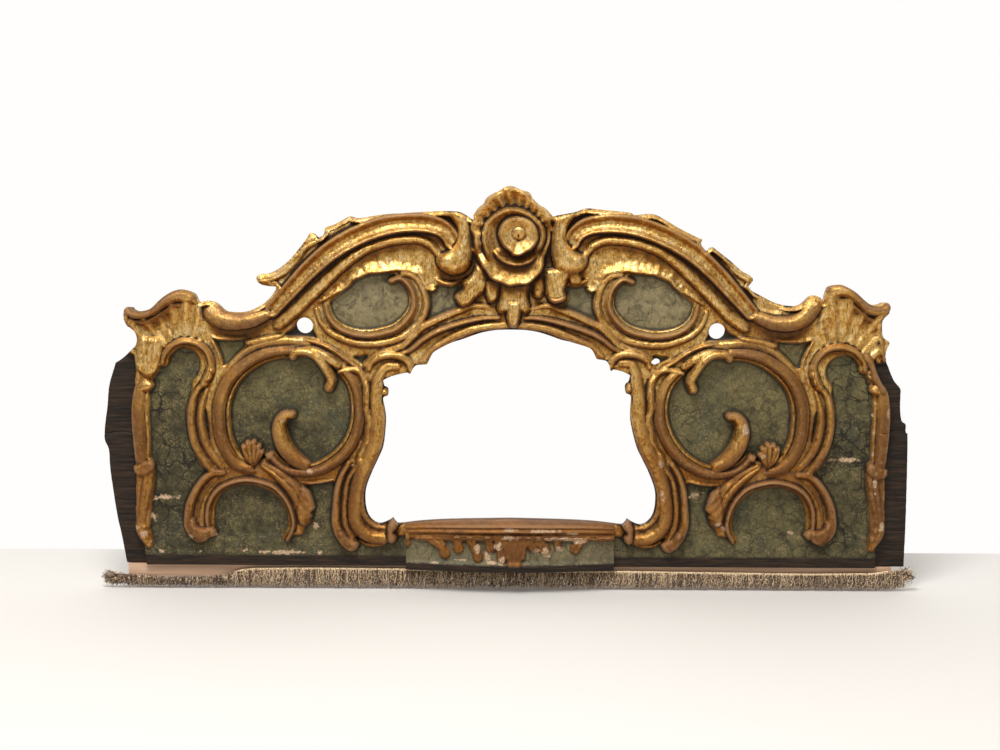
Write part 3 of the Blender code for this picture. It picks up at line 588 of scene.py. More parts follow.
# A knob: half a ball on a low rim
def carveKnob(x, z, wide, high, rise):
    r2 = ((gridX - x) / wide) ** 2 + ((gridZ - z) / high) ** 2
    near = r2 < 1
    height = rise * (swelling["knobRim"] + (1 - swelling["knobRim"]) * np.sqrt(np.clip(1 - r2, 0, 1)))
    relief[near] = np.maximum(relief[near], height[near])
    rubbed[near] = 0.35 + 0.4 * r2[near]
    gilded[near] = 1


# A lobe: high all over its outline, rounded towards the edge by a blur of its own shape
def carveLobe(rise, soft, rub, flutes, outline):
    inside = closedMask(outline)
    spare = 14  # grid points left free about the lobe, for the blur
    window = tuple(slice(max(0, k.min() - spare), k.max() + spare + 1) for k in np.nonzero(inside))
    mask = inside[window]
    dome = np.clip(2 * blurred(mask.astype(float), soft) - 1, 0, 1) ** 0.7
    height = rise * (swelling["lobeRim"] + (1 - swelling["lobeRim"]) * dome)
    if flutes:
        (x, z), count, deep = flutes
        height += deep * np.cos(count * np.arctan2(gridZ[window] - z, gridX[window] - x)) * (0.3 + 0.7 * dome)
    raised = mask & (height > relief[window])
    relief[window] = np.where(raised, height, relief[window])
    rubbed[window] = np.where(mask, rub + 0.5 * (1 - dome) ** 2, rubbed[window])
    gilded[window] = np.maximum(gilded[window], mask)


# Rosette: the highest of its shells, each a lip with a steep outside and a hollow falling as (1 - t)^1.7
def carveRosette():
    cx, cz = rosette["heart"]
    dx, dz = gridX - cx, gridZ - cz
    r, angle = np.hypot(dx, dz), np.degrees(np.arctan2(dz, dx))
    outer = np.interp(angle % 360, *rosette["outer"], period=360)
    body = np.clip((outer + 4 - r) / 5, 0, 1) * rosette["body"]
    relief[:] = np.maximum(relief, body)
    gilded[body > 0] = 1
    rubbed[body > 0] = 0.55
    frill, waves = rosette["frill"]
    for angles, radii, lip, fall, reach, foot, deep, (start, stop) in rosette["shells"].values():
        turned = np.where(angle < angles[0] - 20, angle + 360, angle)
        edge = np.interp(turned, angles, radii) + frill * np.sin(np.radians(turned) * waves) * (reach > 40)
        faded = smoothStep(start, start + rosette["fade"], turned)
        faded = faded * smoothStep(stop, stop - rosette["fade"], turned)
        past, t = (r - edge) / fall, (edge - r) / reach
        slope = np.clip(1 - np.clip(t, 0, 1), 0, 1) ** 1.7
        flutes = deep * np.cos(np.radians(turned) * rosette["flutes"]) * np.sin(np.pi * np.clip(t, 0, 1))
        outside, inside = lip * (1 - 0.5 * np.clip(past, 0, 1) ** 1.3), foot + (lip - foot) * slope + flutes
        height = np.where((past < 1) & (t < 1), np.where(past > 0, outside, inside), 0)
        height = foot * 0.8 + (height - foot * 0.8) * faded
        raised = (past < 1) & (t < 1) & (height > relief) & (faded > 0.02)
        relief[raised] = height[raised]
        gilded[raised] = 1
        rubbed[raised] = np.where(np.abs(r - edge) < 3, 0.3, 0.12 + 0.3 * np.clip(t, 0, 1))[raised]
    x, z, wide, rise = rosette["button"]
    dome = np.sqrt(np.clip(1 - ((gridX - x) ** 2 + (gridZ - z) ** 2) / wide ** 2, 0, 1))
    relief[:] += rise * dome ** 0.7


# A member's line on the left, and on the right, where the sides of the line change places
def bothSides(points):
    return (smoothLine(points, 2.5), False), (smoothLine(rightHand(points), 2.5), True)


def closedMask(points):
    loop = np.array(points, float)
    return insideOf(smoothLine(np.vstack([loop, loop[:1]]), 3))


# The grid of the boards' front, and which of its points are wood
columns = np.arange(boards["wide"][0], boards["wide"][1] + boards["step"], boards["step"])
rows = np.arange(boards["tall"][0], boards["tall"][1] + boards["step"], boards["step"])
gridX, gridZ = np.meshgrid(columns, rows)
relief = np.zeros(gridX.shape)

outline = np.vstack([smoothLine(run, 3) for run in leftEdge]
                    + [smoothLine(run, 3)[::-1] for run in reversed(rightEdge)])
opening = np.vstack([smoothLine(run, 3) for run in leftOpening]
                    + [smoothLine(rightHand(run), 3)[::-1] for run in reversed(leftOpening)])
turns = np.linspace(0, 2 * np.pi, 60, endpoint=False)
roundHoles = [np.column_stack([x + r * np.cos(turns), z + r * np.sin(turns)]) for x, z, r in drilledHoles]
roundHoles += [np.column_stack([x + w * np.cos(turns), z + h * np.sin(turns)]) for x, z, w, h in piercings]
solid = insideOf(outline) & ~insideOf(opening)
for loop in roundHoles:
    solid &= ~insideOf(loop)
print("outline drawn", int(solid.sum()), "points")

# Painted fields are sunk, the rest is gilded ground
painted = np.zeros(gridX.shape, bool)
for points in fields.values():
    painted |= closedMask(points) | closedMask(rightHand(points))
painted |= (gridZ < rail["high"]) & (np.abs(gridX) > rail["inner"])
leftMargin = np.interp(gridZ, margins["z"], margins["left"])
rightMargin = np.interp(gridZ, margins["z"], margins["right"])
bare = ((gridX < leftMargin) | (gridX > rightMargin)) & (gridZ < margins["below"]) | closedMask(lostTip)
painted |= bare
recess = closedMask(fields["holeRecess"]) | closedMask(rightHand(fields["holeRecess"]))
gilded = smoothStep(0.65, 0.35, blurred(painted.astype(float), 1.6))
rubbed = 0.12 + 0.5 * smoothStep(0.02, 0.5, blurred(painted.astype(float), 6))
relief = ground["height"] * smoothStep(0.9, 0.2, blurred(painted.astype(float), 3.2))
arch = blurred((closedMask(archBand) | closedMask(rightHand(archBand))).astype(float), 5)
relief += ground["arch"] * smoothStep(0.2, 0.8, arch)

# Corner fans: the ground rises to the rim, with flutes that follow the angle about the hook
for points, middle in ((fan, [ground["fanMiddle"]]), (rightHand(fan), rightHand([ground["fanMiddle"]]))):
    inFan = blurred(closedMask(points).astype(float), 4)
    dx, dz = gridX - middle[0][0], gridZ - middle[0][1]
    flutes = np.cos(ground["fanFlutes"] * np.arctan2(dz, dx) + 0.02 * np.hypot(dx, dz))
    (rimFrom, rimTo, rimHigh), (heartFrom, heartTo, heartHigh) = ground["fanRim"], ground["fanHeart"]
    rising = smoothStep(rimFrom, rimTo, np.hypot(dx, dz))
    near = smoothStep(heartFrom, heartTo, np.hypot(dx, dz))
    fluted = ground["fanDepth"] * flutes * (0.35 + 0.65 * rising)
    relief += inFan * (rimHigh * rising ** 1.5 + heartHigh * near + fluted)

# Members, knobs and lobes, each on both sides, then what belongs to the middle
for section, rise, halves, inner, ripples, points in members.values():
    for line, mirrored in bothSides(points):
        carveMember(section, rise, halves, inner, ripples, line, mirrored)
for x, z, wide, high, rise in knobs.values():
    carveKnob(x, z, wide, high, rise)
    rx, rz = rightHand([(x, z)])[0]
    carveKnob(rx, rz, wide, high, rise)
for name, (rise, soft, rub, flutes, points) in lobes.items():
    carveLobe(rise, soft, rub, flutes, points)
    if flutes:
        focus, count, deep = flutes
        flutes = (rightHand([focus])[0], count, deep)
    if name != "fanLeaf":  # lost on the right
        carveLobe(rise, soft, rub, flutes, rightHand(points))
for values in middleLobes.values():
    carveLobe(*values)
carveRosette()

# Along the upper edge the carving keeps its height to the rim: the highest point within reach, softened
whole = insideOf(outline)
rim = whole & ~shrunk(whole, upperRim["wide"]) & (gridZ > upperRim["above"])
highest = relief.copy()
nearby = range(-upperRim["wide"], upperRim["wide"] + 1, 2)
for rowShift in nearby:
    for columnShift in nearby:
        highest = np.maximum(highest, np.roll(relief, (rowShift, columnShift), (0, 1)))
relief = np.where(rim, np.maximum(relief, upperRim["share"] * blurred(highest, upperRim["soft"])), relief)
gilded = np.where(rim, 1, gilded)

# Coves: the gilded ground sweeps up to the members around it
relief += gilded * np.clip(coves["share"] * blurred(relief, coves["reach"]) - relief, 0, None)
print("members carved")

# Foot of the boards and bare wood, which is sunk and uneven
bareEdge = bare | recess | ((gridZ < rail["low"]) & (np.abs(gridX) > rail["bareFrom"]))
bareEdge = blurred(bareEdge.astype(float), 1.6) * (1 - gilded)
railSlope = np.interp(gridZ, (0, rail["low"], rail["high"], rail["high"] + 1.5),
                      (rail["proud"], rail["proud"], rail["lip"], 0.0))
railSide = (np.abs(gridX) > rail["inner"]) & ~bare
relief = np.where(railSide & (railSlope > relief), railSlope, relief)
relief -= bare * (1.0 + 3.5 * clouds(60, 5, 3, 2.5) + 2.6 * clouds(6, 8, 3, 9.0)) * (gilded < 0.3)

# Hand of the carver: slow waves and small facets on the gilded members, fine grain on the boards
heartX, heartZ = rosette["heart"]
calm = smoothStep(*carver["calmReach"], np.hypot(gridX - heartX, gridZ - heartZ))
calm = carver["calm"] + (1 - carver["calm"]) * calm
marks = carver["wave"] * (clouds(24, 21, 2) - 0.5) + carver["facet"] * (clouds(8, 31, 3) - 0.5)
relief += gilded * calm * marks
relief += (1 - gilded) * carver["plank"] * (clouds(12, 41, 2) - 0.5)

# Losses with ragged edges, and wear
chipped = np.zeros(gridX.shape)
ragged = 0.6 * clouds(11, 51, 2) + 0.4 * clouds(4, 53, 2)
for x, z, wide, high in chips:
    r = np.hypot((gridX - x) / wide, (gridZ - z) / high)
    chipped = np.maximum(chipped, smoothStep(1.05, 0.8, r + 3.0 * (ragged - 0.44)))
relief -= carver["chip"] * chipped
rubbed += 0.55 * (clouds(55, 61, 3) - 0.5) + 0.3 * smoothStep(430, 80, gridZ)
for x, z, reach, more in wear:
    rubbed += more * np.exp(-((gridX - x) ** 2 + (gridZ - z) ** 2) / reach ** 2)


# Distance to the edges, near them: each point looks for its nearest sample of the outline and the holes
def edgeDistance(band):
    samples = np.vstack([outline, opening] + roundHoles)
    near = np.argwhere(solid & ~shrunk(solid, band))
    distance = np.full(gridX.shape, 99.0)
    closest = np.zeros(gridX.shape + (2,))
    for part in np.array_split(near, max(1, len(near) // 2000)):
        px, pz = gridX[part[:, 0], part[:, 1]], gridZ[part[:, 0], part[:, 1]]
        away = (px[:, None] - samples[None, :, 0]) ** 2 + (pz[:, None] - samples[None, :, 1]) ** 2
        best = away.argmin(1)
        distance[part[:, 0], part[:, 1]] = np.sqrt(away[np.arange(len(part)), best])
        closest[part[:, 0], part[:, 1]] = samples[best]
    return distance, closest


distance, closest = edgeDistance(4)
relief -= (carver["edge"] + 0.12 * np.clip(relief, 0, 60)) * (1 - smoothStep(0, 6, distance))
for height, wave, half, limit in plankCracks:
    crack = (np.abs(gridZ - height - 2 * np.sin(gridX / wave)) < half) & (gridX * np.sign(limit) > abs(limit))
    relief -= carver["crack"] * crack

relief = 0.6 * relief + 0.4 * blurred(relief, 1.0)

# What the finish reads from the relief: how far a point lies below or above the mean of its surroundings
# The hollows darken the finish in the recesses as dirt and painted shade; the wide hollow beside tall gilded
# members adds painted shade only
hollows = [(blurred(relief, reach) - relief) / deep for reach, deep in ((7, 10), (2.8, 3))]
hollow = np.clip(np.maximum(*hollows), 0, 1)
hollow = np.maximum(hollow, gilded * np.clip((blurred(relief, 15) - relief - 3) / 16, 0, 0.8))
ridge = np.clip((relief - blurred(relief, 5)) / 5, 0, 1)
# Where the surface faces down, for painted shade in the finish
under = smoothStep(0.15, 0.8, np.gradient(blurred(relief, 2), boards["step"], axis=0))

# Painted shadow under ledges: how far the carving above stands over a line that rises 0.5 mm for each mm
# upwards, as a shadow cast by light from above
paintedLedgeShadow = np.zeros(gridX.shape)
for up in (3, 6, 9, 12, 16, 20, 25, 30):
    n = int(round(up / boards["step"]))
    above = np.vstack([relief[n:], relief[-n:] * 0])
    paintedLedgeShadow = np.maximum(paintedLedgeShadow, (above - relief - 0.5 * up) / 12)
paintedLedgeShadow = blurred(np.clip(paintedLedgeShadow, 0, 1), 2)
surface = {"gilding": gilded, "hollow": hollow, "ridge": ridge, "bare": bareEdge, "chipped": chipped,
           "rubbed": np.clip(rubbed, 0, 1), "under": under, "paintedLedgeShadow": paintedLedgeShadow}
print("surface finished")

# Points on the border move onto the outline, and the sides below them lean inwards
eroded = solid.copy()
for rowShift in (-1, 0, 1):
    for columnShift in (-1, 0, 1):
        eroded &= np.roll(solid, (rowShift, columnShift), (0, 1))
onEdge = solid & ~eroded & (distance < 3)
meshX = np.where(onEdge, closest[..., 0], gridX)
meshZ = np.where(onEdge, closest[..., 1], gridZ)
inwardZ, inwardX = np.gradient(blurred(solid.astype(float), 5))
steep = np.hypot(inwardX, inwardZ) + 1e-9
inwardX, inwardZ = (part / steep * smoothStep(0.0, 0.03, steep) for part in (inwardX, inwardZ))


# A sheet given a body: its border goes back in rings to the plane at back, and that side is filled flat
def backedMesh(name, front, quads, back, fields, tuck=None):
    total = len(front)
    edges = np.vstack([quads[:, [0, 1]], quads[:, [1, 2]], quads[:, [2, 3]], quads[:, [3, 0]]])
    there, other = edges[:, 0] * total + edges[:, 1], edges[:, 1] * total + edges[:, 0]
    border = edges[~np.isin(there, other)]
    rim = np.unique(border)
    place = np.full(total, -1)
    place[rim] = np.arange(len(rim))
    a, b = place[border[:, 0]], place[border[:, 1]]
    inward = tuck[rim] if tuck is not None else np.zeros((len(rim), 3))
    levels, faces, previous = [front], [quads], rim
    for k, share in enumerate((0.12, 0.5, 0.88, 1.0)):
        ring = front[rim].copy()
        ring[:, 1] += (back - ring[:, 1]) * share
        ring += inward * share ** 1.3
        levels.append(ring)
        here = total + k * len(rim) + np.arange(len(rim))
        faces.append(np.column_stack([previous[b], previous[a], here[a], here[b]]))
        previous = here
    last = levels[-1][:, [0, 2]]
    flat, _, triangles, *_ = delaunay_2d_cdt(last.tolist(), np.column_stack([a, b]).tolist(), [], 0, 1e-6)
    triangles = np.array([face for face in triangles if len(face) == 3])
    corners = np.array([tuple(point) for point in flat])
    nearest = np.arange(len(last))
    if len(flat) != len(last):
        nearest = np.array([np.argmin(((last - spot) ** 2).sum(1)) for spot in corners])
    middles = corners[triangles].mean(1)
    start, stop = last[a], last[b]
    within = np.zeros(len(middles), bool)
    for part in np.array_split(np.arange(len(middles)), max(1, len(middles) // 1500)):
        x, z = middles[part, 0, None], middles[part, 1, None]
        hit = (start[None, :, 1] <= z) != (stop[None, :, 1] <= z)
        rise = np.where(hit, stop[None, :, 1] - start[None, :, 1], 1)
        cross = start[None, :, 0] + (z - start[None, :, 1]) / rise * (stop[None, :, 0] - start[None, :, 0])
        within[part] = (hit & (cross > x)).sum(1) % 2 == 1
    turned = nearest[triangles[within]]
    turned = turned[(turned != np.roll(turned, 1, 1)).all(1)]
    p, q, s = (last[turned[:, k]] for k in range(3))
    area = (q[:, 0] - p[:, 0]) * (s[:, 1] - p[:, 1]) - (q[:, 1] - p[:, 1]) * (s[:, 0] - p[:, 0])
    turned[area > 0] = turned[area > 0][:, ::-1]
    backFaces = (total + 3 * len(rim) + turned).tolist()
    points = np.vstack(levels) / 1000 + (0, 0, boards["foot"])
    source = np.concatenate([np.arange(total)] + [rim] * 4)
    mesh = bpy.data.meshes.new(name)
    mesh.from_pydata(points.tolist(), [], np.vstack(faces).tolist() + backFaces)
    fields = {label: values[source] for label, values in fields.items()}
    for values in fields.values():
        values[total + 3 * len(rim):] = 0  # plain wood on the back
    fields["side"] = np.repeat((0, 0.12, 0.5, 0.88, 1.0), (total, len(rim), len(rim), len(rim), len(rim)))
    for label, values in fields.items():
        mesh.attributes.new(label, "FLOAT", "POINT").data.foreach_set("value", values.astype(np.float32))
    mesh.shade_smooth()
    mesh.set_sharp_from_angle(angle=math.radians(75))
    return mesh


# A finished piece stands for its CAD node, which it hides, and gets the given material
def addPiece(name, mesh, node, material):
    piece = bpy.data.objects.new(name, mesh)
    bpy.context.scene.collection.objects.link(piece)
    mesh.materials.append(material)
    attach(piece, "root")
    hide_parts(node)
    print(name, len(mesh.polygons), "faces")
    return piece


# A piece of the boards: the relief's grid between two columns
def boardMesh(name, first, last):
    cut = slice(first, last + 1)
    inside = solid[:, cut]
    cells = inside[:-1, :-1] & inside[1:, :-1] & inside[:-1, 1:] & inside[1:, 1:]
    used = np.zeros(inside.shape, bool)
    for rowShift, columnShift in ((0, 0), (0, 1), (1, 0), (1, 1)):
        used[rowShift:rowShift + cells.shape[0], columnShift:columnShift + cells.shape[1]] |= cells
    index = np.full(inside.shape, -1)
    index[used] = np.arange(used.sum())
    r, c = np.nonzero(cells)
    quads = np.column_stack([index[r, c], index[r, c + 1], index[r + 1, c + 1], index[r + 1, c]])
    x, z, h = meshX[:, cut][used], meshZ[:, cut][used], relief[:, cut][used]
    front = np.column_stack([x, -(boards["thick"] + h), z])
    seam = np.zeros(inside.shape, bool)
    seam[:, [0, 1, -2, -1]] = True
    inward = np.column_stack([inwardX[:, cut][used] * ~seam[used], 0 * z, inwardZ[:, cut][used]])
    tuck = inward * boards["tuck"]
    tuck[z < 3] = 0
    fields = {label: field[:, cut][used] for label, field in surface.items()}
    return backedMesh(name, front, quads, 0.0, fields, tuck)


# Nodes: makes one, sets its values and joins its links
def addNode(tree, kind, values=None, links=None, **settings):
    node = tree.nodes.new(kind)
    for key, value in settings.items():
        setattr(node, key, value)
    for key, value in (values or {}).items():
        node.inputs[key].default_value = value
    for key, socket in (links or {}).items():
        tree.links.new(socket, node.inputs[key])
    return node


def startMaterial(name):
    material = bpy.data.materials.new(name)
    material.use_nodes = True
    return material, material.node_tree, material.node_tree.nodes["Principled BSDF"]


def attributeOf(tree, name):
    return addNode(tree, "ShaderNodeAttribute", attribute_name=name).outputs["Fac"]


def noiseOf(tree, coordinates, scale, detail=4, roughness=0.6):
    return addNode(tree, "ShaderNodeTexNoise", {"Scale": scale, "Detail": detail, "Roughness": roughness},
                   {"Vector": coordinates}).outputs["Fac"]


def stretchedOf(tree, coordinates, scale):
    return addNode(tree, "ShaderNodeMapping", {"Scale": scale}, {"Vector": coordinates}).outputs[0]


def rampOf(tree, value, low, high, toLow=0.0, toHigh=1.0):
    return addNode(tree, "ShaderNodeMapRange", {1: low, 2: high, 3: toLow, 4: toHigh}, {0: value},
                   interpolation_type="SMOOTHSTEP").outputs[0]


def mathOf(tree, operation, *items):
    node = addNode(tree, "ShaderNodeMath", operation=operation)
    for k, item in enumerate(items):
        if isinstance(item, (int, float)):
            node.inputs[k].default_value = item
        else:
            tree.links.new(item, node.inputs[k])
    return node.outputs[0]


# A weighted sum: pairs of a value and its weight, on top of what is added
def sumOf(tree, pairs, added=0.0):
    for value, weight in pairs:
        added = mathOf(tree, "MULTIPLY_ADD", value, weight, added)
    return added


def mixColours(tree, share, a, b):
    node = addNode(tree, "ShaderNodeMix", data_type="RGBA")
    for key, item in ((0, share), (6, a), (7, b)):
        if isinstance(item, (int, float)):
            node.inputs[key].default_value = item
        elif isinstance(item, tuple):
            node.inputs[key].default_value = (*item, 1)
        else:
            tree.links.new(item, node.inputs[key])
    return node.outputs[2]


# Panel finish: leaf gilding over brown bole, green marbling in the fields, bare dark wood at the margins
panelFinish = {
    "leaf": (0.74, 0.45, 0.125), "leafDeep": (0.32, 0.125, 0.020), "leafPale": (1.0, 0.80, 0.44),
    "bole": (0.17, 0.058, 0.013), "boleLight": (0.40, 0.185, 0.050), "worn": (0.135, 0.056, 0.019),
    "rubbedWood": (0.31, 0.160, 0.066), "dirtAndPaintedShade": (0.024, 0.009, 0.003), "ground": (0.66, 0.52, 0.36),
    "green": (0.036, 0.030, 0.013), "greenLight": (0.145, 0.120, 0.048), "greenBlue": (0.045, 0.055, 0.038),
    "fleck": (0.34, 0.26, 0.11), "paleAndPaintedLight": (0.40, 0.33, 0.20), "vein": (0.012, 0.009, 0.005),
    "wood": (0.008, 0.005, 0.003), "woodLight": (0.048, 0.026, 0.013), "edgeWood": (0.17, 0.090, 0.042),
    "noises": {"fine": (330, 5, 0.7), "mid": (70, 6), "broad": (19, 3), "blotch": (140, 5, 0.75)},
    "streaks": (370, 4, 0.65), "streakShape": (1, 1, 0.2), "grainShape": (3, 3, 46), "gloss": 0.28,
}


# What the finish follows: the place, the attributes of the mesh and the noises, by their names
def panelValues(tree, look):
    spot = addNode(tree, "ShaderNodeTexCoord").outputs["Object"]
    split = addNode(tree, "ShaderNodeSeparateXYZ", None, {0: spot}).outputs
    at = {"spot": spot, "across": split[0], "height": split[2], "outward": mathOf(tree, "ABSOLUTE", split[0])}
    for label in list(surface) + ["side"]:
        at[label] = attributeOf(tree, label)
    for label, values in look["noises"].items():
        at[label] = noiseOf(tree, spot, *values)
    at["streak"] = noiseOf(tree, stretchedOf(tree, spot, look["streakShape"]), *look["streaks"])
    return at


# Leaf: paler in patches, with painted shade where it faces down, a painted shadow below ledges and painted
# light falling off towards the bottom, and a crackle of fine streaks; then rubbed through to brown bole, on
# the highest edges to wood, and in the hollows darkened by dirt and painted shade
def leafLook(tree, look, at):
    blotch, rubbedAt = at["blotch"], at["rubbed"]
    # Tone: random patches, less where painted shade falls on downward faces and under ledges, and darker
    # towards the bottom as painted light falloff
    tone = sumOf(tree, (
        (at["mid"], 0.8), (at["fine"], 0.5), (at["streak"], 0.35), (at["broad"], 0.5), (blotch, 0.9),
        (at["under"], -0.3), (at["paintedLedgeShadow"], -0.55)), rampOf(tree, at["height"], -0.5, -0.1, -0.86, -0.6))
    colour = mixColours(tree, rampOf(tree, tone, 0.45, 1.0), look["leafDeep"], look["leaf"])
    colour = mixColours(tree, rampOf(tree, tone, 0.84, 1.2, 0, 0.7), colour, look["leafPale"])
    crackle = rampOf(tree, at["streak"], 0.53, 0.62, 0, 0.7)
    colour = mixColours(tree, crackle, colour, look["bole"])
    loss = sumOf(tree, ((rubbedAt, 1), (at["fine"], 0.9), (at["mid"], 1.1), (blotch, 1.4)), -1.7)
    lossShare = rampOf(tree, loss, 0.3, 0.95, 0.0, 0.92)
    wearing = sumOf(tree, ((rubbedAt, 1), (blotch, 1.3)), -0.65)
    brown = mixColours(tree, rampOf(tree, blotch, 0.4, 0.62), look["bole"], look["boleLight"])
    brown = mixColours(tree, rampOf(tree, wearing, 0.6, 1.05, 0, 0.75), brown, look["worn"])
    colour = mixColours(tree, lossShare, colour, brown)
    edge = sumOf(tree, ((at["ridge"], 0.8), (rubbedAt, 0.5), (blotch, 1.2)))
    edgeShare = rampOf(tree, edge, 1.3, 1.65, 0.0, 0.75)
    colour = mixColours(tree, edgeShare, colour, look["rubbedWood"])
    # Dirt and painted shade: the hollows and the painted ledge shadow turn the leaf near-black brown
    deepest = mathOf(tree, "MAXIMUM", at["hollow"], mathOf(tree, "MULTIPLY", at["paintedLedgeShadow"], 0.5))
    sootAndPaintedShade = rampOf(tree, sumOf(tree, ((deepest, 1), (at["mid"], 0.4))), 0.33, 0.95)
    dulled = ((sootAndPaintedShade, 0.8), (lossShare, 0.5), (edgeShare, 0.8))
    return mixColours(tree, sootAndPaintedShade, colour, look["dirtAndPaintedShade"]), crackle, dulled


# Green: clouds of olive and blue-green, sponged flecks, paler paint (with painted light on the upper fields),
# dark veins at the borders of bent cells, and painted shade in the hollows
def greenLook(tree, look, at):
    spot, height, outward = at["spot"], at["height"], at["outward"]
    swirl = addNode(tree, "ShaderNodeTexNoise", {"Scale": 22, "Detail": 6}, {"Vector": spot}).outputs["Color"]
    bent = addNode(tree, "ShaderNodeVectorMath", {3: 0.05}, {0: swirl}, operation="SCALE").outputs[0]
    moved = addNode(tree, "ShaderNodeVectorMath", None, {0: spot, 1: bent}, operation="ADD").outputs[0]
    cells = addNode(tree, "ShaderNodeTexVoronoi", {"Scale": 30}, {"Vector": moved},
                    feature="DISTANCE_TO_EDGE").outputs["Distance"]
    vein = mathOf(tree, "MULTIPLY", rampOf(tree, cells, 0.0, 0.085, 0.95, 0.0),
                  rampOf(tree, outward, 0.57, 0.63, 0.5, 1.0))
    vein = mathOf(tree, "MULTIPLY", vein, rampOf(tree, noiseOf(tree, spot, 15), 0.36, 0.58))
    cloudy = noiseOf(tree, spot, 44, 10, 0.8)
    # Lighter towards the top, as paler paint and as painted light from above; darker on the outer fields and
    # lighter right of the middle
    for lighter in (rampOf(tree, height, -0.35, -0.06, -0.03, 0.2),
                    rampOf(tree, outward, 0.55, 0.62, 0, -0.06),
                    rampOf(tree, at["across"], 0.2, 0.34, 0, 0.055)):
        cloudy = mathOf(tree, "ADD", cloudy, lighter)
    sponged = mathOf(tree, "MULTIPLY", rampOf(tree, noiseOf(tree, spot, 300, 5, 0.75), 0.48, 0.6, 0, 0.5),
                     rampOf(tree, noiseOf(tree, spot, 24, 5, 0.7), 0.4, 0.6))
    upper = rampOf(tree, height, -0.16, -0.08)
    mottle = mathOf(tree, "MULTIPLY", upper,
                    rampOf(tree, noiseOf(tree, moved, 52, 7, 0.8), 0.46, 0.6, 0, 0.6))
    onSill = mathOf(tree, "MULTIPLY", rampOf(tree, outward, 0.2, 0.22, 1, 0),
                    rampOf(tree, height, -0.5, -0.46, 1, 0))
    colour = mixColours(tree, rampOf(tree, cloudy, 0.36, 0.68), look["green"], look["greenLight"])
    for share, tint in (
            (rampOf(tree, cloudy, 0.66, 0.85, 0, 0.5), "fleck"),
            (rampOf(tree, noiseOf(tree, spot, 9, 5, 0.7), 0.5, 0.66, 0, 0.55), "greenBlue"),
            (sponged, "fleck"),
            (rampOf(tree, noiseOf(tree, moved, 90, 6, 0.8), 0.54, 0.68, 0, 0.75), "green"),
            # paler paint on the sill; on the upper fields paler paint and painted light
            (sumOf(tree, ((upper, 0.3), (onSill, 0.2))), "paleAndPaintedLight"),
            (mottle, "green"),
            (vein, "vein"),
            # painted shade in the hollows of the fields
            (rampOf(tree, at["hollow"], 0.15, 0.8, 0, 0.75), "vein")):
        colour = mixColours(tree, share, colour, look[tint])
    return colour


# Bare wood: dark grain stretched along the boards, paler on their sides
def woodLook(tree, look, at):
    grain = noiseOf(tree, stretchedOf(tree, at["spot"], look["grainShape"]), 6, 8, 0.65)
    face = mixColours(tree, rampOf(tree, grain, 0.35, 0.72), look["wood"], look["woodLight"])
    side = mixColours(tree, rampOf(tree, grain, 0.35, 0.7), look["woodLight"], look["edgeWood"])
    onSide = rampOf(tree, mathOf(tree, "SUBTRACT", at["side"], at["bare"]), 0.0, 0.1)
    return mixColours(tree, onSide, face, side), grain


def panelMaterial():
    look = panelFinish
    material, tree, shader = startMaterial("gilded carving")
    at = panelValues(tree, look)
    gilt, crackle, dulled = leafLook(tree, look, at)
    wood, grain = woodLook(tree, look, at)
    bareShare = mathOf(tree, "MAXIMUM", at["bare"], rampOf(tree, at["side"], 0.3, 0.8))
    covered = mathOf(tree, "SUBTRACT", 1.0, bareShare)
    lost = mathOf(tree, "MULTIPLY", at["chipped"], covered)
    pale = mixColours(tree, rampOf(tree, at["fine"], 0.35, 0.7), look["rubbedWood"], look["ground"])
    colour = mixColours(tree, at["gilding"], greenLook(tree, look, at), gilt)
    colour = mixColours(tree, bareShare, colour, wood)
    tree.links.new(mixColours(tree, lost, colour, pale), shader.inputs["Base Color"])
    # metal where the leaf is left, less of it where that is rubbed, where dirt and painted shade darken it,
    # and where it is lost
    kept = mathOf(tree, "MULTIPLY", at["gilding"], covered)
    for share, less in dulled + ((lost, 0.8),):
        kept = mathOf(tree, "MULTIPLY", kept, sumOf(tree, ((share, -less),), 1.0))
    tree.links.new(mathOf(tree, "MULTIPLY", kept, 0.95), shader.inputs["Metallic"])
    rough = sumOf(tree, ((at["mid"], 0.35), (kept, -0.32)))
    tree.links.new(rampOf(tree, rough, -0.25, 0.3, 0.36, 0.68), shader.inputs["Roughness"])
    shader.inputs["Specular IOR Level"].default_value = look["gloss"]
    scored = mathOf(tree, "MULTIPLY", crackle, at["gilding"])
    woody = mathOf(tree, "MULTIPLY", grain, bareShare)
    bumps = sumOf(tree, ((at["fine"], 0.35), (at["mid"], 0.7), (at["blotch"], 0.7), (scored, -0.35)), woody)
    bump = addNode(tree, "ShaderNodeBump", {"Strength": 0.6, "Distance": 0.0016}, {"Height": bumps})
    tree.links.new(bump.outputs[0], shader.inputs["Normal"])
    return material


panelSkin = panelMaterial()
pieceNames = ("boards_left_end", "boards_left", "boards_crest", "boards_right", "boards_right_end")
cutPlaces = (-520, -215, 215, 520)
cuts = [0] + [int((x - boards["wide"][0]) / boards["step"]) for x in cutPlaces] + [len(columns) - 1]
for name, first, last in zip(pieceNames, cuts, cuts[1:]):
    addPiece(name, boardMesh(name, first, last), "carved_panel", panelSkin)
print("boards made")

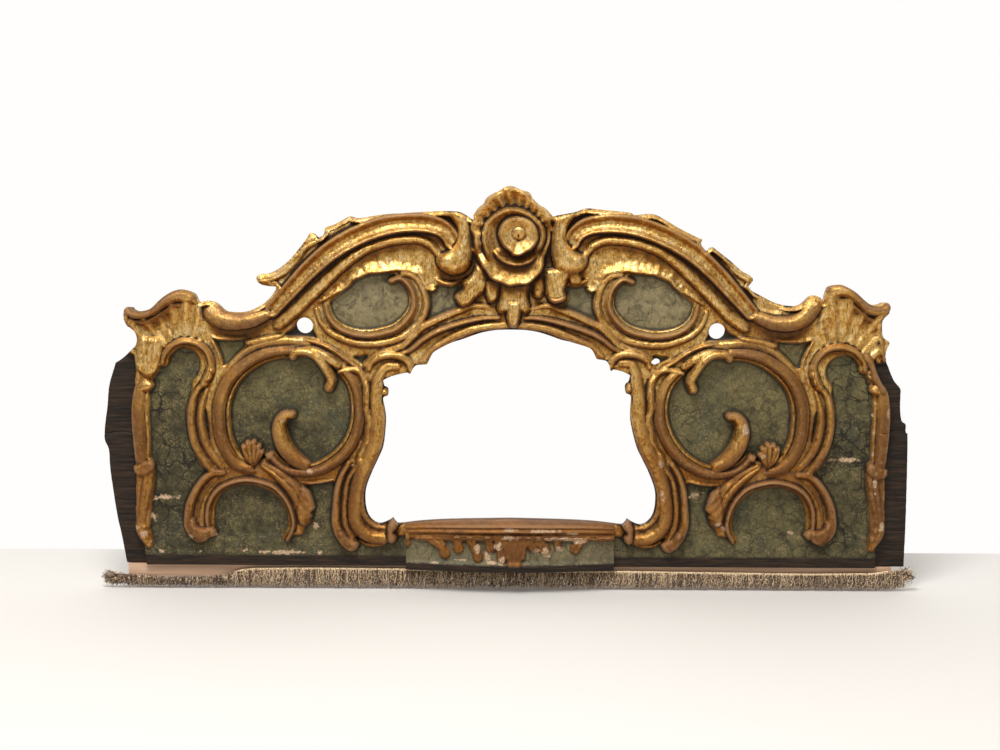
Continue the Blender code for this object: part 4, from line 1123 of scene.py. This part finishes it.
# Sill: its upper edge, its section (how far it stands out at each height, as a share of its depth), the drops
# of the garland below its moulding (from, to, half width) and its losses (place, half width, half height)
sill = {
    "length": 418.0, "depth": 22.0, "bow": 28.0, "foot": -6.0, "back": -35.3, "step": 1.3,
    "topEdge": ((-209, 88), (-186, 91), (-148, 94), (-97, 96), (0, 98), (97, 96), (148, 94), (186, 91),
                (209, 88)),
    "section": ((-6, .60), (-4, .88), (0, .97), (9, 1.0), (12, .99), (14, .88), (19, .80), (40, .73),
                (60, .69), (65, .70), (67, .80), (70, .90), (73, .86), (75, .80), (78, .92), (81, 1.0),
                (84, .93), (86, .86), (90, .96), (94, .84), (97, .6), (98, .4)),
    "drops": (((-150, 64), (150, 64), 4), ((-190, 66), (-150, 64), 3), ((150, 64), (190, 66), 3),
              ((-207, 72), (-206, 56), 8), ((-178, 66), (-156, 62), 6), ((-160, 62), (-138, 48), 8),
              ((-140, 56), (-130, 34), 11), ((-106, 66), (-103, 45), 11), ((-80, 64), (-69, 44), 11),
              ((-69, 48), (-64, 27), 10), ((-45, 66), (-39, 46), 10), ((-26, 62), (-16, 24), 9),
              ((-14, 62), (-2, 30), 9), ((3, 64), (5, 14), 11), ((17, 64), (11, 12), 11),
              ((30, 62), (22, 30), 9), ((37, 64), (45, 48), 10), ((56, 64), (69, 44), 12),
              ((92, 66), (95, 50), 8), ((158, 66), (142, 57), 6), ((140, 60), (130, 44), 11),
              ((206, 70), (180, 66), 7)),
    "chips": ((104, 66, 44, 3), (0, 68, 15, 4), (-25, 50, 9, 7), (-44, 30, 6, 8), (-100, 21, 9, 2),
              (0, 85, 12, 3), (66, 84, 26, 3), (122, 78, 9, 3), (0, -5, 18, 3), (-17, 20, 6, 9),
              (72, 38, 9, 9), (98, 44, 5, 6), (-37, 17, 10, 3), (140, 62, 12, 5), (-150, 14, 10, 2),
              (52, 42, 7, 4), (-66, 46, 5, 8)),
}


# Its front is a grid over x and height: the section times the bowed depth, with the garland's rolls on it
def sillMesh():
    half, step = sill["length"] / 2, sill["step"]
    xs = np.linspace(-half, half, int(2 * half / step) + 1)
    top = np.interp(xs, *np.array(sill["topEdge"], float).T)
    height, out = np.array(sill["section"], float).T
    up = np.linspace(0, 1, int((height[-1] - sill["foot"]) / step) + 1)
    z = sill["foot"] + up[:, None] * (top - sill["foot"])[None, :]
    x = np.broadcast_to(xs, z.shape)
    level = sill["foot"] + up[:, None] * (height[-1] - sill["foot"]) + 0 * x
    depth = (sill["depth"] + sill["bow"] * (1 - (x / half) ** 2)) * np.interp(level, height, out)
    garland = np.zeros(z.shape)
    for a, b, wide in sill["drops"]:
        share, left, past = nearLine(smoothLine((a, b), 1), x, level)
        r = np.hypot(left, past) / (wide * (0.8 + 0.2 * share + 0.1 * np.sin(9 * share)))
        crease = 1 - 0.25 * np.exp(-(left / 2.0) ** 2) - 0.12 * np.cos(7 * share)
        garland = np.maximum(garland, 9 * np.clip(1 - r ** 2.4, 0, 1) ** 0.5 * crease)
    at = (x, level)
    depth += garland + 1.2 * (clouds(22, 61, 2, 1, at) - 0.5) + 0.8 * (clouds(6, 71, 2, 3, at) - 0.5)
    depth[level > 66] += 0.8 * (clouds(4, 81, 2, 14, at)[level > 66] - 0.5)
    torn = clouds(7, 91, 3, 1, at)
    chipped = np.zeros(z.shape)
    for cx, cz, wide, high in sill["chips"]:
        r = np.hypot((x - cx) / wide, (level - cz) / high)
        chipped = np.maximum(chipped, smoothStep(1.2, 0.9, r + 1.6 * (torn - 0.5)))
    depth -= 0.6 * chipped
    depth = 0.5 * depth + 0.5 * blurred(depth, 1.3, step)
    # Hollows, downward faces and an even painted ledge shadow over the whole sill: painted shade in the
    # finish, with dirt in the hollows
    fields = {
        "gilding": np.maximum(smoothStep(64, 67, level + 2 * (torn - 0.5)), smoothStep(0.3, 1.5, garland)),
        "hollow": np.clip((blurred(depth, 7, step) - depth) / 7, 0, 1) * smoothStep(96, 91, level),
        "ridge": np.clip((depth - blurred(depth, 5, step)) / 5, 0, 1),
        "bare": smoothStep(13.5, 11.5, level + 3 * (torn - 0.5)), "chipped": chipped,
        "rubbed": np.clip(0.95 + 0.8 * (clouds(16, 95, 3, 6, at) - 0.5) - 0.12 * (x < -60), 0, 1),
        "under": smoothStep(0.15, 0.8, np.gradient(blurred(depth, 2, step), step, axis=0)),
        "paintedLedgeShadow": 0.45 + 0 * z,
    }
    index = np.arange(z.size).reshape(z.shape)
    quads = np.column_stack([index[:-1, :-1].ravel(), index[:-1, 1:].ravel(), index[1:, 1:].ravel(),
                             index[1:, :-1].ravel()])
    front = np.column_stack([x.ravel(), (sill["back"] - np.maximum(depth, 1)).ravel(), z.ravel()])
    return backedMesh("bowed_sill", front, quads, sill["back"], {k: f.ravel() for k, f in fields.items()})


addPiece("bowed_sill", sillMesh(), "sill", panelSkin)

# Batten: the CAD strip stays, in new planed softwood
batten = {"light": (0.66, 0.44, 0.29), "dark": (0.50, 0.30, 0.18), "late": (0.40, 0.22, 0.12)}


def battenMaterial():
    material, tree, shader = startMaterial("planed softwood")
    spot = addNode(tree, "ShaderNodeTexCoord").outputs["Object"]
    rings = noiseOf(tree, stretchedOf(tree, spot, (1.2, 24, 24)), 5, 3, 0.5)
    fibre = noiseOf(tree, stretchedOf(tree, spot, (6, 260, 260)), 3)
    colour = mixColours(tree, rampOf(tree, rings, 0.3, 0.7), batten["light"], batten["dark"])
    colour = mixColours(tree, rampOf(tree, fibre, 0.55, 0.8, 0, 0.5), colour, batten["late"])
    tree.links.new(colour, shader.inputs["Base Color"])
    shader.inputs["Roughness"].default_value = 0.62
    bump = addNode(tree, "ShaderNodeBump", {"Strength": 0.25, "Distance": 0.0006}, {"Height": fibre})
    tree.links.new(bump.outputs[0], shader.inputs["Normal"])
    return material


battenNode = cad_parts["fringe_batten"]
battenNode.data.materials.clear()
battenNode.data.materials.append(battenMaterial())
print("sill and batten made")

# Fringe: a woven heading along the batten's front and short cut threads below it, loose and low at the left
fringe = {
    "heads": ((-812, -24), (-785, -21), (-700, -26), (-600, -25), (-560, -16), (-530, -9), (-400, -7),
              (-230, -8), (0, -11), (230, -11), (400, -13), (600, -15), (740, -13), (775, -5), (802, -8)),
    "foot": -43.0, "face": -34.4, "heading": (-555.0, 790.0), "headingHalf": 2.6, "threads": 4300,
    "thick": 1.25, "curl": 2.1, "tufts": ((-804, -27, 240), (796, -16, 260)), "loose": -560.0,
    "brown": (0.050, 0.022, 0.010), "tan": (0.27, 0.145, 0.065), "cream": (0.92, 0.73, 0.47),
    "gold": (0.42, 0.23, 0.07),
}


# Tubes: every line gets a three-sided section across its direction, closed at both ends
def tubeMesh(name, lines, radius, tint):
    count, stations, _ = lines.shape
    along = np.gradient(lines, axis=1)
    along /= np.linalg.norm(along, axis=2)[..., None] + 1e-9
    side = np.cross(along, np.array([0.3, 1.0, 0.2]))
    side /= np.linalg.norm(side, axis=2)[..., None] + 1e-9
    other = np.cross(along, side)
    turn = 2 * np.pi * np.arange(3) / 3
    points = lines[:, :, None, :] + radius[..., None, None] * (
        np.cos(turn)[None, None, :, None] * side[:, :, None, :]
        + np.sin(turn)[None, None, :, None] * other[:, :, None, :])
    index = np.arange(count * stations * 3).reshape(count, stations, 3)
    low, high = index[:, :-1], index[:, 1:]
    quads = np.stack([low, np.roll(low, -1, 2), np.roll(high, -1, 2), high], -1).reshape(-1, 4)
    mesh = bpy.data.meshes.new(name)
    mesh.from_pydata((points.reshape(-1, 3) / 1000 + (0, 0, boards["foot"])).tolist(), [],
                     quads.tolist() + index[:, 0, ::-1].tolist() + index[:, -1].tolist())
    mesh.shade_smooth()
    for label, values in (("tint", np.repeat(tint, stations * 3)),
                          ("share", np.tile(np.repeat(np.linspace(0, 1, stations), 3), count))):
        mesh.attributes.new(label, "FLOAT", "POINT").data.foreach_set("value", values.astype(np.float32))
    return mesh


# Threads hang from the heading in three layers; each leans, bellies forward and turns a little at its cut end
def threadLines():
    rng = np.random.default_rng(7)
    n, t = fringe["threads"], np.linspace(0, 1, 7)
    x = np.linspace(-806, 797, n) + rng.normal(0, 0.8, n)
    head = np.interp(x, *np.array(fringe["heads"], float).T)
    loose = smoothStep(fringe["loose"] + 25, fringe["loose"] - 10, x)
    layer = np.arange(n) % 3
    lean, sway = rng.normal(0, 3.2 + 2.5 * loose, n), 2.0 * np.sin(x / 13) + rng.normal(0, 1.5, n)
    end = fringe["foot"] + rng.normal(0, 1.6, n) + 3 * np.clip((np.abs(x) - 770) / 40, 0, 1)
    out = fringe["face"] - 1.6 - 2.3 * layer - 0.8 * rng.random(n)
    px = x[:, None] + lean[:, None] * t ** 1.5 + sway[:, None] * t * (1 - t)
    py = out[:, None] - (1.5 + 1.0 * rng.random(n))[:, None] * np.sin(np.pi * t) * (1 + 0.5 * loose[:, None])
    pz = head[:, None] + (end - head)[:, None] * t + 1.4 * rng.normal(0, 1, n)[:, None] * t ** 4
    phase = rng.uniform(0, 2 * np.pi, n)[:, None] + rng.uniform(6, 11, n)[:, None] * t
    px += fringe["curl"] * np.sin(phase) * t ** 0.5
    py += 0.7 * fringe["curl"] * np.cos(phase) * t ** 0.5
    return np.stack([px, py, pz], -1), rng.random(n) - 0.22 * loose


# Tufts at the ends: threads that start near one point and curl outwards in all directions of the front
def tuftLines():
    rng = np.random.default_rng(11)
    t, found = np.linspace(0, 1, 6), []
    for x, z, n in fringe["tufts"]:
        angle, length = rng.uniform(0, 2 * np.pi, n), rng.uniform(9, 20, n)
        bend = rng.normal(0, 1.2, n)
        turned = angle[:, None] + bend[:, None] * t
        reach = length[:, None] * t
        px = x + rng.normal(0, 5, n)[:, None] + reach * np.cos(turned)
        pz = z + rng.normal(0, 3, n)[:, None] + 0.75 * reach * np.sin(turned)
        py = fringe["face"] - 2 - rng.uniform(0, 6, n)[:, None] - 3 * np.sin(np.pi * t)[None, :]
        found.append(np.stack([px, py, np.maximum(pz, fringe["foot"])], -1))
    return np.vstack(found), rng.random(sum(row[2] for row in fringe["tufts"]))


# Heading: an oval section carried along the top of the threads, with slanting stitches pressed into it
def headingMesh():
    start, stop = fringe["heading"]
    x = np.arange(start, stop, 1.1)
    z = np.interp(x, *np.array(fringe["heads"], float).T)
    z = np.convolve(np.pad(z, 20, mode="edge"), np.ones(41) / 41, "valid")
    turn = 2 * np.pi * np.arange(10) / 10
    half = fringe["headingHalf"] * np.clip(np.minimum(x - start, stop - x) / 14, 0.25, 1)
    stitch = 0.55 * np.cos(2 * np.pi * x[:, None] / 3.6 + 2 * np.abs(np.sin(turn))[None, :])
    out = (half[:, None] * 0.85 + stitch) * np.cos(turn)[None, :]
    up = (half[:, None] + 0.5 * stitch) * np.sin(turn)[None, :]
    points = np.stack([x[:, None] + 0 * up, fringe["face"] - 5.2 - out, z[:, None] - 1.0 + up], -1)
    index = np.arange(len(x) * 10).reshape(len(x), 10)
    low, high = index[:-1], index[1:]
    quads = np.stack([low, high, np.roll(high, -1, 1), np.roll(low, -1, 1)], -1).reshape(-1, 4)
    mesh = bpy.data.meshes.new("fringe_heading")
    mesh.from_pydata((points.reshape(-1, 3) / 1000 + (0, 0, boards["foot"])).tolist(), [],
                     quads.tolist() + [index[0].tolist(), index[-1, ::-1].tolist()])
    mesh.shade_smooth()
    mesh.attributes.new("tint", "FLOAT", "POINT").data.foreach_set(
        "value", np.full(points.size // 3, 0.86, np.float32))
    return mesh


def threadMaterial():
    material, tree, shader = startMaterial("fringe threads")
    spot = addNode(tree, "ShaderNodeTexCoord").outputs["Object"]
    tint = mathOf(tree, "ADD", attributeOf(tree, "tint"), mathOf(
        tree, "MULTIPLY", mathOf(tree, "SUBTRACT", noiseOf(tree, spot, 260, 3, 0.75), 0.5), 3.2))
    colour = mixColours(tree, rampOf(tree, tint, 0.05, 0.5), fringe["brown"], fringe["tan"])
    colour = mixColours(tree, rampOf(tree, tint, 0.6, 0.74), colour, fringe["cream"])
    colour = mixColours(tree, rampOf(tree, tint, 0.95, 1.1), colour, fringe["gold"])
    tree.links.new(colour, shader.inputs["Base Color"])
    shader.inputs["Roughness"].default_value = 0.7
    shader.inputs["Sheen Weight"].default_value = 0.3
    return material


threadSkin = threadMaterial()
taperedThreads = ((threadLines, "fringe_threads", (0.9, 1, 1, 1, 1, 0.95, 0.8)),
                  (tuftLines, "fringe_ends", (0.9, 1, 1, 0.9, 0.8, 0.6)))
for makeLines, name, taper in taperedThreads:
    lines, tint = makeLines()
    radius = np.broadcast_to(fringe["thick"] / 2 * np.array(taper), lines.shape[:2])
    addPiece(name, tubeMesh(name, lines, radius, tint), "fringe", threadSkin)
addPiece("fringe_heading", headingMesh(), "fringe", threadSkin)
print("fringe made")

# Studio: pale floor, white behind and above, a dimmer room in front, a large soft key from the upper left
studio = {"floor": (0.66, 0.63, 0.59), "keyWatts": 100, "fillWatts": 4, "sky": 1.0, "room": 0.17}


def makeStudio():
    low, _ = cadBox
    bpy.ops.mesh.primitive_plane_add(size=14, location=(0, -6.75, low[2] - 0.005))
    floor = bpy.context.object
    floor.name = "floor"
    material, tree, shader = startMaterial("pale floor")
    shader.inputs["Base Color"].default_value = (*studio["floor"], 1)
    shader.inputs["Roughness"].default_value = 0.8
    floor.data.materials.append(material)
    world = bpy.data.worlds.new("studio")
    bpy.context.scene.world = world
    world.use_nodes = True
    tree = world.node_tree
    view = addNode(tree, "ShaderNodeTexCoord").outputs["Generated"]
    ray = addNode(tree, "ShaderNodeSeparateXYZ", None, {0: view}).outputs
    glow = mathOf(tree, "MAXIMUM", rampOf(tree, ray[1], -0.1, 0.4), rampOf(tree, ray[2], 0.25, 0.8))
    strength = rampOf(tree, glow, 0.0, 1.0, studio["room"], studio["sky"])
    tree.nodes["Background"].inputs[0].default_value = (1, 0.99, 0.98, 1)
    tree.links.new(strength, tree.nodes["Background"].inputs[1])
    for name, place, size, watts in (("key", (-0.5, -1.7, 2.5), 1.2, studio["keyWatts"]),
                                     ("fill", (2.2, -2.8, 1.0), 1.6, studio["fillWatts"])):
        light = bpy.data.lights.new(name, "AREA")
        light.size = size
        light.energy = watts
        item = bpy.data.objects.new(name, light)
        bpy.context.scene.collection.objects.link(item)
        item.location = place
        aimX, aimY, aimZ = np.array((0, 0, low[2] + 0.4)) - np.array(place)
        item.rotation_euler = (math.atan2(math.hypot(aimX, aimY), -aimZ), 0, math.atan2(-aimX, aimY))
    bpy.context.scene.view_settings.view_transform = "Standard"
    shot = bpy.data.cameras.new("camera")
    shot.lens = camera["lens"]
    item = bpy.data.objects.new("camera", shot)
    bpy.context.scene.collection.objects.link(item)
    item.location = (camera["sideways"], -camera["away"], boards["foot"] + camera["up"])
    item.rotation_mode = "XYZ"
    tilt, roll = math.radians(90 - camera["tiltDeg"]), math.radians(camera["rollDeg"])
    item.rotation_euler = (Matrix.Rotation(tilt, 3, "X") @ Matrix.Rotation(roll, 3, "Z")).to_euler()
    bpy.context.scene.camera = item


makeStudio()
